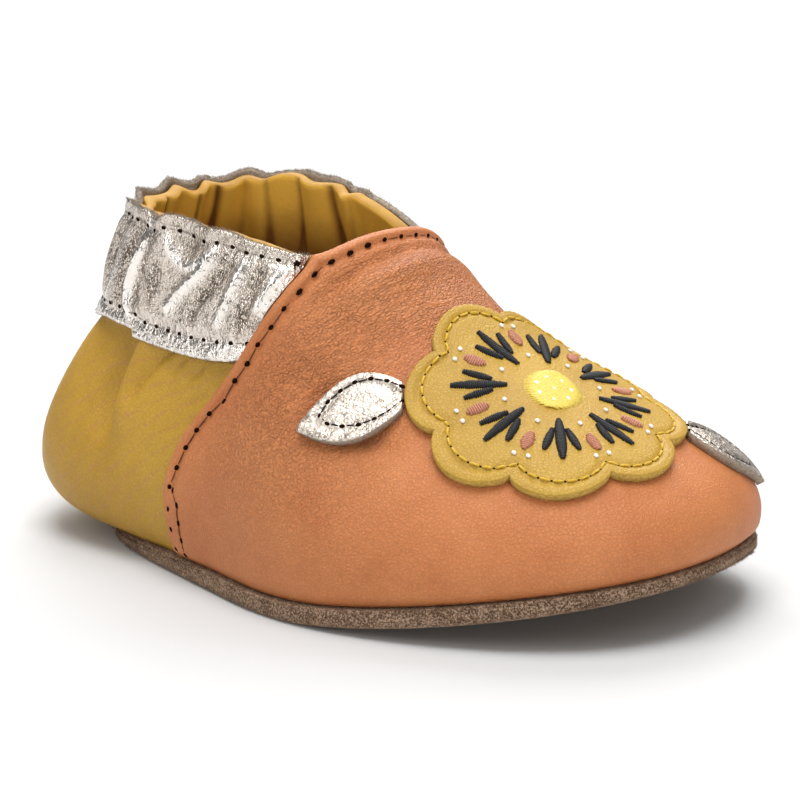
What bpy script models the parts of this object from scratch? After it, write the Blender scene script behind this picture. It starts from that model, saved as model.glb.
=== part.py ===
"""Soft-sole baby shoe for the right foot, standing empty on its sole.

The toe points to +X, the inner (medial) side of the foot to +Y, and +Z is up. Sizes below are in
millimetres and become metres when a mesh is made. Every piece is read from one last: a table of twelve
sections around the foot, joined by a closed spline. On the last, u runs around the foot in sections
(0 toe, 3 outer waist, 6 heel, 9 inner waist) and v runs up the wall (0 sole seam, 1 collar rim).
"""
import math

import bmesh
import bpy
import numpy as np
from mathutils import Vector
from mathutils.bvhtree import BVHTree

# Driving dimensions of the last
SOLE_LENGTH = 116.0
BALL_WIDTH = 61.0
INSTEP_HEIGHT = 51.5
HEEL_HEIGHT = 53.0

# Materials' thicknesses and the clearance between neighbouring pieces
WALL = 1.6
VAMP_LEATHER = 1.1
CUFF_LEATHER = 1.0
PATCH_LEATHER = 1.2
GAP = 0.3
LAYER_GAP = 0.35
PATCH_GAP = 0.45

# Sole: edge band, toe spring, heel lift and a low arch on the inner side
SOLE_PLY = 1.8
SOLE_ROUND = 0.5
SOLE_RIM_CLEARANCE = 0.2
SOLE_WELL_SLOPE = 0.4
INSOLE_PLY = 1.5
INSOLE_ROUND = 0.3
TOE_SPRING = 8.0
TOE_SPRING_START = 64.0
HEEL_LIFT = 1.3
HEEL_LIFT_END = 18.0
SPRING_POWER = 1.5
ARCH_LIFT = 0.8
ARCH_MIDDLE = 48.0
ARCH_REACH = 15.0
ARCH_OUTER_Y = -6.0
ARCH_INNER_Y = 20.0

# Middle line of the sole, from heel to ball as shares of its length, that its rings are drawn in to
AXIS_FROM = 0.2
AXIS_TO = 0.78
AXIS_SLANT = 0.1
CAP_SHARE = 0.35
MIDDLE_SHARE = 0.7

# Last sections. along: percent of sole length from the heel seam. across: percent of ball width, plus is
# the inner side. up: percent of the height named in level. In millimetres, lip: how far the sole stands out
# past the seam. edge: height of the seam above the sole's underside. lean, rise: how the wall leaves the
# seam, outwards and upwards. pull: how far the wall keeps the cuff's slope below the cuff line.
COLUMNS = ("name", "level", "base_along", "base_across", "lip", "edge", "lean", "rise",
           "cuff_along", "cuff_across", "cuff_up", "pull", "rim_along", "rim_across", "rim_up")
SECTIONS = (
    ("toe",          "front", 99.5,  11.5,  1.5, 2.7,  6.5, 14.0, 62.0,   3.5, 82.5, 26.0, 51.5,   1.5, 101.5),
    ("toe_outer",    "front", 93.0, -29.5,  1.7, 3.0,  4.5, 13.0, 61.0, -13.0, 80.5, 20.0, 50.5, -13.0, 101.0),
    ("ball_outer",   "front", 64.5, -52.5,  1.9, 3.2,  4.0, 15.0, 51.5, -31.0, 77.5, 16.0, 48.5, -25.5,  98.5),
    ("waist_outer",  "back",  41.5, -46.0,  1.8, 3.2,  3.0, 14.0, 40.5, -37.5, 65.0, 12.0, 41.5, -31.0,  99.0),
    ("heel_outer",   "back",  20.0, -34.0,  0.6, 2.5, 10.5,  7.0, 19.0, -31.0, 65.0, 12.0, 24.5, -30.0, 101.0),
    ("corner_outer", "back",  11.0, -21.5, -0.3, 1.7, 18.0,  2.5,  8.4, -20.5, 66.0, 20.0, 14.8, -19.0, 100.5),
    ("heel",         "back",   7.0,   0.0, -0.3, 1.7, 20.0,  2.5,  4.0,   0.0, 66.0, 20.0,  9.7,   1.5, 100.0),
    ("corner_inner", "back",  11.0,  21.5, -0.3, 1.7, 17.0,  2.5,  7.0,  21.5, 66.0, 20.0, 11.0,  21.0, 100.0),
    ("heel_inner",   "back",  20.0,  32.0,  0.6, 2.5,  9.0,  7.0, 17.0,  31.0, 66.0, 12.0, 18.0,  30.0, 102.0),
    ("waist_inner",  "back",  43.0,  37.5,  1.8, 3.2,  3.0, 14.0, 36.0,  36.0, 65.0, 12.0, 34.5,  28.5,  99.5),
    ("ball_inner",   "front", 70.5,  47.5,  1.9, 3.2,  4.0, 14.0, 50.0,  30.5, 72.0, 16.0, 46.5,  24.0,  92.5),
    ("toe_inner",    "front", 90.5,  44.5,  1.7, 3.0,  6.0, 13.0, 60.5,  17.0, 77.5, 20.0, 50.5,  14.0,  97.5),
)
ROUND = len(SECTIONS)

# How far each section's wall is drawn outwards right below the cuff, where the elastic ends
SWELL = (0.0, 0.0, 0.0, 0.0, 2.5, 6.5, 6.0, 5.0, 2.5, 0.0, 0.0, 0.0)
CUFF_LINE = 0.7
LEVEL_BELOW = 0.06

# Vamp edge on the outer side, mirrored on the inner side: section u at wall height v
VAMP_EDGE_COLUMNS = ("v", "u")
VAMP_EDGE = ((0.0, 3.37), (0.25, 3.37), (0.45, 3.25), (0.58, 3.08), (0.7, 2.91), (0.85, 2.56), (1.0, 1.95))
EDGE_BLUR = 0.06
EDGE_CLEARANCE = 0.03

# Gathers that the elastic pulls into the cuff, between the two waist sections
GATHERED_FROM = 3.0
GATHERED_TO = 9.0
GATHERS = 11
GATHER_DEPTH = 0.9
GATHER_DRIFT = 0.016
GATHER_DRIFT_WAVES = 3.0
GATHER_DRIFT_SHIFT = 0.5
GATHER_FADE = 0.06
GATHER_FROM_V = 0.72
GATHER_FULL_V = 0.85
UNEVEN_SHARE = 0.35
UNEVEN_WAVES = 5.0
UNEVEN_SHIFT = 0.6
RIM_WAVE = 0.5
RIM_WAVE_SHIFT = 1.0

# Steps of the meshes
FRONT_STEPS = 40
STEPS_PER_GATHER = 5
WALL_STEPS = 9
CUFF_STEPS = 3
CUFF_END_STEPS = 4
SOLE_STEPS = 72

# Flower patch and its two leaves, on the vamp
FLOWER_U = 0.5
FLOWER_V = 0.48
FLOWER_RADIUS = 21.0
FLOWER_PETALS = 8
FLOWER_NOTCH = 0.13
FLOWER_STEPS = 64
FLOWER_RINGS = (0.0, 0.3, 0.55, 0.8, 1.0)
LEAF_LENGTH = 13.5
LEAF_HALF_WIDTH = 5.0
LEAF_STALK_HALF_WIDTH = 2.2
LEAF_TIP_HALF_WIDTH = 0.4
LEAF_STEPS = 12
LEAF_STEPS_ACROSS = 4
LEAF_TURNS = {"applique_leaf_lateral": math.radians(-135.0), "applique_leaf_medial": math.radians(45.0)}
RAY_HEIGHT = 20.0

MM = 0.001
SMOOTH_ANGLE = math.radians(50.0)
UP = np.array([0.0, 0.0, 1.0])


# The last

def column(name):
    """One named column of the section table, as numbers."""
    place = COLUMNS.index(name)
    return np.array([row[place] for row in SECTIONS], dtype=float)


def smooth_step(value, start, end):
    """0 before start, 1 after end, and a soft ramp between them."""
    t = np.clip((value - start) / (end - start), 0.0, 1.0)
    return t * t * (3.0 - 2.0 * t)


def underside(x, y):
    """Height of the sole's underside: flat under heel and forefoot, with toe spring, heel lift and arch."""
    toe = np.clip((x - TOE_SPRING_START) / (SOLE_LENGTH - TOE_SPRING_START), 0.0, None)
    heel = np.clip((HEEL_LIFT_END - x) / HEEL_LIFT_END, 0.0, None)
    along = np.clip(1.0 - ((x - ARCH_MIDDLE) / ARCH_REACH) ** 2, 0.0, None) ** 2
    arch = ARCH_LIFT * along * smooth_step(y, ARCH_OUTER_Y, ARCH_INNER_Y)
    return TOE_SPRING * toe ** SPRING_POWER + HEEL_LIFT * heel ** SPRING_POWER + arch


def ring_points(part):
    """The twelve section points of one ring of the last: base, cuff or rim."""
    along = SOLE_LENGTH * column(part + "_along") / 100.0
    across = BALL_WIDTH * column(part + "_across") / 100.0
    if part == "base":
        height = underside(along, across) + column("edge")
    else:
        levels = {"front": INSTEP_HEIGHT, "back": HEEL_HEIGHT}
        level = np.array([levels[row[COLUMNS.index("level")]] for row in SECTIONS])
        height = level * column(part + "_up") / 100.0
    return np.stack([along, across, height], axis=-1)


def closed_spline(values, u):
    """A smooth closed cubic through one value (or point) per section."""
    count = len(values)
    one = np.eye(count)
    system = 4.0 * one + np.roll(one, 1, axis=0) + np.roll(one, -1, axis=0)
    slope = np.linalg.solve(system, 3.0 * (np.roll(values, -1, axis=0) - np.roll(values, 1, axis=0)))
    u = np.asarray(u, dtype=float)
    first = np.floor(u).astype(int) % count
    second = (first + 1) % count
    t = u - np.floor(u)
    if values.ndim > 1:
        t = t[..., None]
    near = (1.0 + 2.0 * t) * (1.0 - t) ** 2 * values[first] + t * (1.0 - t) ** 2 * slope[first]
    far = t * t * (3.0 - 2.0 * t) * values[second] + t * t * (t - 1.0) * slope[second]
    return near + far


def outward(u):
    """Level direction pointing away from the foot at the sole seam."""
    step = 0.01
    along = closed_spline(ring_points("base"), u + step) - closed_spline(ring_points("base"), u - step)
    away = np.stack([-along[..., 1], along[..., 0], 0.0 * along[..., 0]], axis=-1)
    return away / np.linalg.norm(away, axis=-1, keepdims=True)


def last_surface(u, v):
    """Point of the last: a Bezier wall from the seam to the cuff line, then straight up to the rim."""
    base = closed_spline(ring_points("base"), u)
    cuff = closed_spline(ring_points("cuff"), u)
    rim = closed_spline(ring_points("rim"), u)
    lean = closed_spline(column("lean"), u)[..., None]
    rise = closed_spline(column("rise"), u)[..., None]
    pull = closed_spline(column("pull"), u)[..., None]
    swell = closed_spline(np.array(SWELL), u)[..., None]
    fall = (cuff - rim) / np.linalg.norm(cuff - rim, axis=-1, keepdims=True)
    away = outward(u)
    low = base + away * lean + UP * rise
    high = cuff + fall * pull + away * swell
    t = np.clip(v / CUFF_LINE, 0.0, 1.0)[..., None]
    wall = (1 - t) ** 3 * base + 3 * t * (1 - t) ** 2 * low + 3 * t * t * (1 - t) * high + t ** 3 * cuff
    above = np.clip((v - CUFF_LINE) / (1.0 - CUFF_LINE), 0.0, 1.0)[..., None]
    return wall + (rim - cuff) * above


def last_normal(u, v):
    """Outward normal of the last, turned level at the sole seam so that every layer ends level there."""
    step = 0.01
    low = np.clip(v - step, 0.0, 1.0)
    high = np.clip(v + step, 0.0, 1.0)
    around = last_surface(u + step, v) - last_surface(u - step, v)
    upward = last_surface(u, high) - last_surface(u, low)
    normal = np.cross(upward, around)
    normal /= np.linalg.norm(normal, axis=-1, keepdims=True)
    normal[..., 2] *= smooth_step(v, 0.0, LEVEL_BELOW)
    return normal / np.linalg.norm(normal, axis=-1, keepdims=True)


def gathered_share():
    """Sections u around the back, and the share of the gathered rim's length that each one has passed."""
    sections = np.linspace(GATHERED_FROM, GATHERED_TO, 121)
    rim = closed_spline(ring_points("rim"), sections)
    passed = np.concatenate([[0.0], np.cumsum(np.linalg.norm(np.diff(rim, axis=0), axis=-1))])
    return sections, passed / passed[-1]


def gathers(u, v):
    """How far the gathers of the cuff stand off the last, and how far they lift the rim."""
    share = np.interp(u, *gathered_share())
    inside = smooth_step(share, 0.0, GATHER_FADE) * smooth_step(1.0 - share, 0.0, GATHER_FADE)
    drift = GATHER_DRIFT * np.sin(2.0 * math.pi * GATHER_DRIFT_WAVES * share + GATHER_DRIFT_SHIFT)
    turn = 2.0 * math.pi * (share + drift)
    uneven = 1.0 - UNEVEN_SHARE + UNEVEN_SHARE * np.cos(UNEVEN_WAVES * turn + UNEVEN_SHIFT)
    grown = smooth_step(v, GATHER_FROM_V, GATHER_FULL_V)
    swell = GATHER_DEPTH * inside * uneven * np.cos(GATHERS * turn) * grown
    raised = smooth_step(v, GATHER_FULL_V, 1.0)
    lift = RIM_WAVE * inside * uneven * np.cos(GATHERS * turn + RIM_WAVE_SHIFT) * raised
    return swell, lift


def layer(u, v, offset):
    """Point of a leather layer that lies offset millimetres outside the last."""
    u, v = np.broadcast_arrays(np.asarray(u, dtype=float), np.asarray(v, dtype=float))
    swell, lift = gathers(u % ROUND, v)
    normal = last_normal(u, v)
    return last_surface(u, v) + normal * (offset + swell)[..., None] + UP * lift[..., None]


def vamp_edge(v):
    """Section u of the vamp's outer edge at wall height v, rounded between the table's rows."""
    heights = np.array([row[VAMP_EDGE_COLUMNS.index("v")] for row in VAMP_EDGE])
    sections = np.array([row[VAMP_EDGE_COLUMNS.index("u")] for row in VAMP_EDGE])
    nearby = np.linspace(-EDGE_BLUR, EDGE_BLUR, 7)
    return np.mean([np.interp(v + move, heights, sections) for move in nearby], axis=0)


def wall_heights(low, high):
    """Heights v shared by the upper and the layers on it, from low to high."""
    wall = np.linspace(0.0, CUFF_LINE, WALL_STEPS + 1)
    cuff = np.linspace(CUFF_LINE, 1.0, CUFF_STEPS + 1)[1:]
    heights = np.concatenate([wall, cuff])
    return heights[(heights > low - 1e-6) & (heights < high + 1e-6)]


def gathered_sections():
    """Sections u around the back, evenly spaced along the rim and close enough to follow each gather."""
    sections, share = gathered_share()
    return np.interp(np.linspace(0.0, 1.0, GATHERS * STEPS_PER_GATHER + 1), share, sections)


# Meshes

def make_material(name, colour, roughness, metallic=0.0):
    material = bpy.data.materials.new(name)
    material.use_nodes = True
    shader = material.node_tree.nodes["Principled BSDF"]
    shader.inputs["Base Color"].default_value = (*colour, 1.0)
    shader.inputs["Roughness"].default_value = roughness
    shader.inputs["Metallic"].default_value = metallic
    return material


def make_object(name, points, faces, material):
    """One named object from millimetre points, with its faces turned out and shaded smooth."""
    mesh = bpy.data.meshes.new(name)
    mesh.from_pydata([tuple(point * MM) for point in points], [], faces)
    bm = bmesh.new()
    bm.from_mesh(mesh)
    bmesh.ops.recalc_face_normals(bm, faces=bm.faces)
    bm.to_mesh(mesh)
    bm.free()
    mesh.materials.append(material)
    mesh.shade_smooth()
    mesh.set_sharp_from_angle(angle=SMOOTH_ANGLE)
    shoe_piece = bpy.data.objects.new(name, mesh)
    bpy.context.collection.objects.link(shoe_piece)
    return shoe_piece


def grid_faces(rows, columns, start, closed):
    """Quads of a grid of points whose first point has the number start."""
    faces = []
    for i in range(rows if closed else rows - 1):
        for j in range(columns - 1):
            after = (i + 1) % rows
            faces.append((start + i * columns + j, start + after * columns + j,
                          start + after * columns + j + 1, start + i * columns + j + 1))
    return faces


def border(rows, columns):
    """Point numbers around the edge of an open grid."""
    bottom = [i * columns for i in range(rows)]
    right = [(rows - 1) * columns + j for j in range(1, columns)]
    top = [i * columns + columns - 1 for i in range(rows - 2, -1, -1)]
    left = list(range(columns - 2, 0, -1))
    return bottom + right + top + left


def join_loops(first, second):
    """Quads between two closed loops of point numbers."""
    count = len(first)
    return [(first[k], first[(k + 1) % count], second[(k + 1) % count], second[k]) for k in range(count)]


def sheet_solid(name, outer, inner, material, closed=False):
    """A leather sheet: an outer and an inner grid of points, joined around their edges."""
    rows, columns = outer.shape[:2]
    count = rows * columns
    points = np.concatenate([outer.reshape(-1, 3), inner.reshape(-1, 3)])
    faces = grid_faces(rows, columns, 0, closed) + grid_faces(rows, columns, count, closed)
    if closed:
        edges = [[i * columns for i in range(rows)], [i * columns + columns - 1 for i in range(rows)]]
    else:
        edges = [border(rows, columns)]
    for edge in edges:
        faces += join_loops(edge, [place + count for place in edge])
    return make_object(name, points, faces, material)


def ring_solid(name, rings, material):
    """A solid from closed rings of points, capped at both ends by rungs across the shoe."""
    steps = len(rings[0])
    points = np.concatenate(rings)
    faces = []
    for k in range(len(rings) - 1):
        first = [k * steps + i for i in range(steps)]
        faces += join_loops(first, [place + steps for place in first])
    for start in (0, (len(rings) - 1) * steps):
        for i in range(steps // 2):
            rung = (i, i + 1, (steps - i - 1) % steps, (steps - i) % steps)
            faces.append([start + place for place in dict.fromkeys(rung)])
    return make_object(name, points, faces, material)


# Pieces

def sole_ring(beyond, height, share=1.0, from_seam=False, lip=0.0):
    """A ring that lies beyond the sole seam, by a distance plus a share of the lip, drawn in by share.

    Its height is measured from the underside, or from the sole seam.
    """
    u = np.arange(SOLE_STEPS) * ROUND / SOLE_STEPS
    seam = closed_spline(ring_points("base"), u)
    edge = seam + outward(u) * (beyond + lip * closed_spline(column("lip"), u))[:, None]
    axis_x = np.clip(edge[:, 0], AXIS_FROM * SOLE_LENGTH, AXIS_TO * SOLE_LENGTH)
    axis = np.stack([axis_x, AXIS_SLANT * BALL_WIDTH * axis_x / SOLE_LENGTH], axis=-1)
    ring = edge.copy()
    ring[:, :2] = axis + (edge[:, :2] - axis) * share
    level = seam[:, 2] if from_seam else underside(ring[:, 0], ring[:, 1])
    ring[:, 2] = level + height
    return ring


def build_outsole(material):
    """Suede sole with a rounded edge, turned up into a low tray that holds the insole."""
    rim_inside = -WALL - SOLE_RIM_CLEARANCE
    well = rim_inside - SOLE_WELL_SLOPE
    rings = [
        sole_ring(well, 0.0, CAP_SHARE),
        sole_ring(well, 0.0, MIDDLE_SHARE),
        sole_ring(-3.0 * SOLE_ROUND, 0.0, lip=1.0),
        sole_ring(-0.6 * SOLE_ROUND, 0.4 * SOLE_ROUND, lip=1.0),
        sole_ring(0.0, 1.6 * SOLE_ROUND, lip=1.0),
        sole_ring(0.0, -GAP - SOLE_ROUND, from_seam=True, lip=1.0),
        sole_ring(-SOLE_ROUND, -GAP, from_seam=True, lip=1.0),
        sole_ring(rim_inside, -GAP, from_seam=True),
        sole_ring(well, SOLE_PLY),
        sole_ring(well, SOLE_PLY, CAP_SHARE),
    ]
    return ring_solid("outsole", rings, material)


def build_insole(material):
    """Thin lining sole that lies in the outsole's tray."""
    edge = -WALL - SOLE_RIM_CLEARANCE - SOLE_WELL_SLOPE - GAP
    bottom = SOLE_PLY + GAP
    top = bottom + INSOLE_PLY
    rings = [
        sole_ring(edge, bottom, CAP_SHARE),
        sole_ring(edge, bottom),
        sole_ring(edge, top - INSOLE_ROUND),
        sole_ring(edge - INSOLE_ROUND, top),
        sole_ring(edge, top, CAP_SHARE),
    ]
    return ring_solid("insole", rings, material)


def build_upper(material):
    """The hollow lined shell: quarter, heel and the backing of vamp and cuff, open above and below."""
    front = np.linspace(GATHERED_TO - ROUND, GATHERED_FROM, FRONT_STEPS + 1)
    sections = np.concatenate([front, gathered_sections()[1:-1]])[:, None]
    heights = wall_heights(0.0, 1.0)[None, :]
    outer = layer(sections, heights, 0.0)
    inner = layer(sections, heights, -WALL)
    return sheet_solid("upper", outer, inner, material, closed=True)


def build_vamp(material):
    """Leather overlay over toe and instep, from the sole seam to the throat edge."""
    heights = wall_heights(0.0, 1.0)[None, :]
    share = np.linspace(-1.0, 1.0, FRONT_STEPS + 1)[:, None]
    sections = share * vamp_edge(heights)
    outer = layer(sections, heights, LAYER_GAP + VAMP_LEATHER)
    inner = layer(sections, heights, LAYER_GAP)
    return sheet_solid("vamp", outer, inner, material)


def build_cuff(material):
    """Gathered collar overlay around the back, from the cuff line to the rim and between the vamp's edges."""
    heights = wall_heights(CUFF_LINE, 1.0)
    end = vamp_edge(heights) + EDGE_CLEARANCE
    share = np.linspace(0.0, 1.0, CUFF_END_STEPS + 1)[:-1, None]
    lateral_end = end + (GATHERED_FROM - end) * share
    back = gathered_sections()[:, None] + 0.0 * heights
    medial_end = ROUND - lateral_end[::-1]
    sections = np.concatenate([lateral_end, back, medial_end])
    outer = layer(sections, heights, LAYER_GAP + CUFF_LEATHER)
    inner = layer(sections, heights, LAYER_GAP)
    return sheet_solid("cuff", outer, inner, material)


def vamp_tree(offset):
    """Search tree of the surface that lies offset millimetres outside the vamp."""
    share = np.linspace(-1.0, 1.0, 4 * FRONT_STEPS + 1)[:, None]
    heights = np.linspace(0.0, 1.0, 61)[None, :]
    points = layer(share * vamp_edge(heights), heights, LAYER_GAP + VAMP_LEATHER + offset)
    rows, columns = points.shape[:2]
    return BVHTree.FromPolygons(points.reshape(-1, 3).tolist(), grid_faces(rows, columns, 0, False))


def drop_on_vamp(flat, tree):
    """Drop flat points (towards the toe, towards the inner side) from above the flower onto the vamp."""
    centre = layer(FLOWER_U, FLOWER_V, 0.0)
    normal = last_normal(np.array(FLOWER_U), np.array(FLOWER_V))
    forward = np.array([1.0, 0.0, 0.0]) - normal * normal[0]
    forward /= np.linalg.norm(forward)
    sideways = np.cross(normal, forward)
    starts = centre + normal * RAY_HEIGHT + flat[..., :1] * forward + flat[..., 1:] * sideways
    landed = [tree.ray_cast(Vector(start), Vector(-normal))[0] for start in starts.reshape(-1, 3)]
    return np.array(landed).reshape(starts.shape)


def petal_radius(angle):
    """Scalloped edge of the flower patch."""
    scallop = np.abs(np.cos(0.5 * FLOWER_PETALS * angle)) ** 0.7
    return FLOWER_RADIUS * (1.0 - FLOWER_NOTCH * (1.0 - scallop))


def build_flower(material):
    """Flower patch of raw-edged leather, lying on the vamp."""
    angle = np.arange(FLOWER_STEPS) * 2.0 * math.pi / FLOWER_STEPS
    radius = np.array(FLOWER_RINGS[1:])[None, :] * petal_radius(angle)[:, None]
    flat = np.stack([radius * np.cos(angle)[:, None], radius * np.sin(angle)[:, None]], axis=-1)
    middle = np.zeros((1, 2))
    rows, columns = flat.shape[:2]
    points = []
    faces = []
    rims = []
    for tree in (vamp_tree(PATCH_GAP), vamp_tree(PATCH_GAP + PATCH_LEATHER)):
        start = len(points)
        points += list(drop_on_vamp(flat, tree).reshape(-1, 3)) + list(drop_on_vamp(middle, tree))
        faces += grid_faces(rows, columns, start, True)
        hub = start + rows * columns
        for i in range(rows):
            faces.append((start + i * columns, start + (i + 1) % rows * columns, hub))
        rims.append([start + i * columns + columns - 1 for i in range(rows)])
    faces += join_loops(rims[0], rims[1])
    return make_object("applique_flower", np.array(points), faces, material)


def leaf_half_width(share):
    """Half width of a leaf at a share of its length, from the stalk to the tip."""
    ends = LEAF_STALK_HALF_WIDTH + (LEAF_TIP_HALF_WIDTH - LEAF_STALK_HALF_WIDTH) * share
    return ends + (LEAF_HALF_WIDTH - ends) * np.sin(math.pi * share ** 0.85)


def build_leaf(name, turn, material):
    """Leaf patch whose stalk end meets the middle of a petal."""
    share = np.linspace(0.0, 1.0, LEAF_STEPS + 1)[:, None]
    across = np.linspace(-1.0, 1.0, LEAF_STEPS_ACROSS + 1)[None, :] * leaf_half_width(share)
    away = FLOWER_RADIUS + GAP + LEAF_LENGTH * share + 0.0 * across
    flat = np.stack([away * math.cos(turn) - across * math.sin(turn),
                     away * math.sin(turn) + across * math.cos(turn)], axis=-1)
    outer = drop_on_vamp(flat, vamp_tree(PATCH_GAP + PATCH_LEATHER))
    inner = drop_on_vamp(flat, vamp_tree(PATCH_GAP))
    return sheet_solid(name, outer, inner, material)


def stand_on_origin(pieces):
    """Move every mesh so that the bottom centre of the whole shoe's box is the origin."""
    corners = np.array([vertex.co for piece in pieces for vertex in piece.data.vertices])
    low = corners.min(axis=0)
    high = corners.max(axis=0)
    move = Vector((-(low[0] + high[0]) / 2.0, -(low[1] + high[1]) / 2.0, -low[2]))
    for piece in pieces:
        for vertex in piece.data.vertices:
            vertex.co += move


def main():
    for old in list(bpy.data.objects):
        bpy.data.objects.remove(old, do_unlink=True)
    mustard = make_material("mustard_leather", (0.48, 0.28, 0.03), 0.5)
    tan = make_material("tan_leather", (0.58, 0.20, 0.08), 0.5)
    silver = make_material("silver_leather", (0.62, 0.56, 0.50), 0.35, 0.7)
    suede = make_material("taupe_suede", (0.13, 0.10, 0.075), 0.95)
    lining = make_material("mustard_lining", (0.50, 0.30, 0.05), 0.7)
    pieces = [
        build_outsole(suede),
        build_insole(lining),
        build_upper(mustard),
        build_vamp(tan),
        build_cuff(silver),
        build_flower(mustard),
    ]
    for name, turn in LEAF_TURNS.items():
        pieces.append(build_leaf(name, turn, silver))
    stand_on_origin(pieces)


main()
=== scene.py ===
"""Looks of a soft-sole baby shoe: leather, foil, suede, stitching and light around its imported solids.

The shoe is drawn on the last of its solids, in millimetres: u runs around the foot in sections (0 toe,
3 outer waist, 6 heel, 9 inner waist) and v up the wall (0 sole seam, 1 collar rim). Meshes are moved
into the frame, in metres, when they are made.
"""
import math

import bmesh
import bpy
import numpy as np
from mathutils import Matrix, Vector
from mathutils.bvhtree import BVHTree
from mathutils.kdtree import KDTree


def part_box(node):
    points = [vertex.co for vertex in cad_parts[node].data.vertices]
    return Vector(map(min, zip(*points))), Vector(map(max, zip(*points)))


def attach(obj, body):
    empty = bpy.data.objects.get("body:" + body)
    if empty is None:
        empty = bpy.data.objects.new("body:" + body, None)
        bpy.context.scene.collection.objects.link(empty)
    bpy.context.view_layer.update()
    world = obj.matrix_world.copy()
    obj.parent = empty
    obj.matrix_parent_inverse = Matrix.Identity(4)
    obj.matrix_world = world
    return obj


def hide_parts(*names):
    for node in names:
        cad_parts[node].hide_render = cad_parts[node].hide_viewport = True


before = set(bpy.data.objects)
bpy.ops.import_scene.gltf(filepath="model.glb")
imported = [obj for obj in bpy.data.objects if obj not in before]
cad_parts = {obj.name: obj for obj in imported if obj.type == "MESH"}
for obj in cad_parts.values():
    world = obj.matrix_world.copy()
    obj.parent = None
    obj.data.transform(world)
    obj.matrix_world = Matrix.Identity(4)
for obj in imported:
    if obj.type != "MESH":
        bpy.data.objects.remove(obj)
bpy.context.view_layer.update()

MM = 0.001
FULL_TURN = 2.0 * math.pi
UP = np.array([0.0, 0.0, 1.0])
SLOPE_STEP = 0.01

# Driving dimensions of the last
SOLE_LENGTH = 116.0
BALL_WIDTH = 61.0
INSTEP_HEIGHT = 51.5
HEEL_HEIGHT = 53.0

# Leather thicknesses and the clearance between neighbouring pieces
WALL = 1.6
VAMP_LEATHER = 1.1
CUFF_LEATHER = 1.0
PATCH_LEATHER = 1.2
GAP = 0.3
LAYER_GAP = 0.35
PATCH_GAP = 0.1
LINING_PLY = 0.3

# Sole: edge band, toe spring, heel lift and a low arch on the inner side
SOLE_PLY = 1.8
SOLE_ROUND = 0.8
SOLE_TOP_ROUND = 0.6
SOLE_SIDE_BULGE = 0.1
SOLE_RIM_CLEARANCE = 0.2
SOLE_WELL_SLOPE = 0.4
INSOLE_PLY = 1.5
INSOLE_ROUND = 0.4
TOE_SPRING = 8.0
TOE_SPRING_START = 64.0
HEEL_LIFT = 1.3
HEEL_LIFT_END = 18.0
SPRING_POWER = 1.5
ARCH_LIFT = 0.8
ARCH_MIDDLE = 48.0
ARCH_REACH = 15.0
ARCH_OUTER_Y = -6.0
ARCH_INNER_Y = 20.0

# Middle line of the sole, from heel to ball as shares of its length, that its rings are drawn in to
AXIS_FROM = 0.2
AXIS_TO = 0.78
AXIS_SLANT = 0.1

# Last sections. along: percent of sole length from the heel seam. across: percent of ball width, plus is
# the inner side. up: percent of the height named in level. In millimetres, lip: how far the sole stands out
# past the seam. edge: height of the seam above the sole's underside. lean, rise: how the wall leaves the
# seam, outwards and upwards. pull: how far the wall keeps the cuff's slope below the cuff line.
COLUMNS = ("name", "level", "base_along", "base_across", "lip", "edge", "lean", "rise",
           "cuff_along", "cuff_across", "cuff_up", "pull", "rim_along", "rim_across", "rim_up")
SECTIONS = (
    ("toe", "front", 99.5, 11.5, 1.5, 2.7, 6.5, 14.0, 62.0, 3.5, 82.5, 26.0, 51.5, 1.5, 101.5),
    ("toe_outer", "front", 93.0, -29.5, 1.7, 3.0, 4.5, 13.0, 61.0, -13.0, 80.5, 20.0, 50.5, -13.0, 101.0),
    ("ball_outer", "front", 64.5, -52.5, 1.9, 3.2, 4.0, 15.0, 51.5, -31.0, 77.5, 16.0, 48.5, -25.5, 98.5),
    ("waist_outer", "back", 41.5, -46.0, 1.8, 3.2, 3.0, 14.0, 40.5, -37.5, 65.0, 12.0, 41.5, -31.0, 99.0),
    ("heel_outer", "back", 20.0, -34.0, 0.6, 2.5, 10.5, 7.0, 19.0, -31.0, 65.0, 12.0, 24.5, -30.0, 101.0),
    ("corner_outer", "back", 11.0, -21.5, -0.3, 1.7, 18.0, 2.5, 8.4, -20.5, 66.0, 20.0, 14.8, -19.0, 100.5),
    ("heel", "back", 7.0, 0.0, -0.3, 1.7, 20.0, 2.5, 4.0, 0.0, 66.0, 20.0, 9.7, 1.5, 100.0),
    ("corner_inner", "back", 11.0, 21.5, -0.3, 1.7, 17.0, 2.5, 7.0, 21.5, 66.0, 20.0, 11.0, 21.0, 100.0),
    ("heel_inner", "back", 20.0, 32.0, 0.6, 2.5, 9.0, 7.0, 17.0, 31.0, 66.0, 12.0, 18.0, 30.0, 102.0),
    ("waist_inner", "back", 43.0, 37.5, 1.8, 3.2, 3.0, 14.0, 36.0, 36.0, 65.0, 12.0, 34.5, 28.5, 99.5),
    ("ball_inner", "front", 70.5, 47.5, 1.9, 3.2, 4.0, 14.0, 50.0, 30.5, 72.0, 16.0, 46.5, 24.0, 92.5),
    ("toe_inner", "front", 90.5, 44.5, 1.7, 3.0, 6.0, 13.0, 60.5, 17.0, 77.5, 20.0, 50.5, 14.0, 97.5),
)
ROUND = len(SECTIONS)

# How far each section's wall is drawn outwards right below the cuff, where the elastic ends
SWELL = (0.0, 0.0, 0.0, 0.0, 2.5, 6.5, 6.0, 5.0, 2.5, 0.0, 0.0, 0.0)
TABLE = {name: np.array(values) for name, values in zip(COLUMNS, zip(*SECTIONS))}
TABLE["swell"] = np.array(SWELL)
CUFF_LINE = 0.7
LEVEL_BELOW = 0.06

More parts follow.
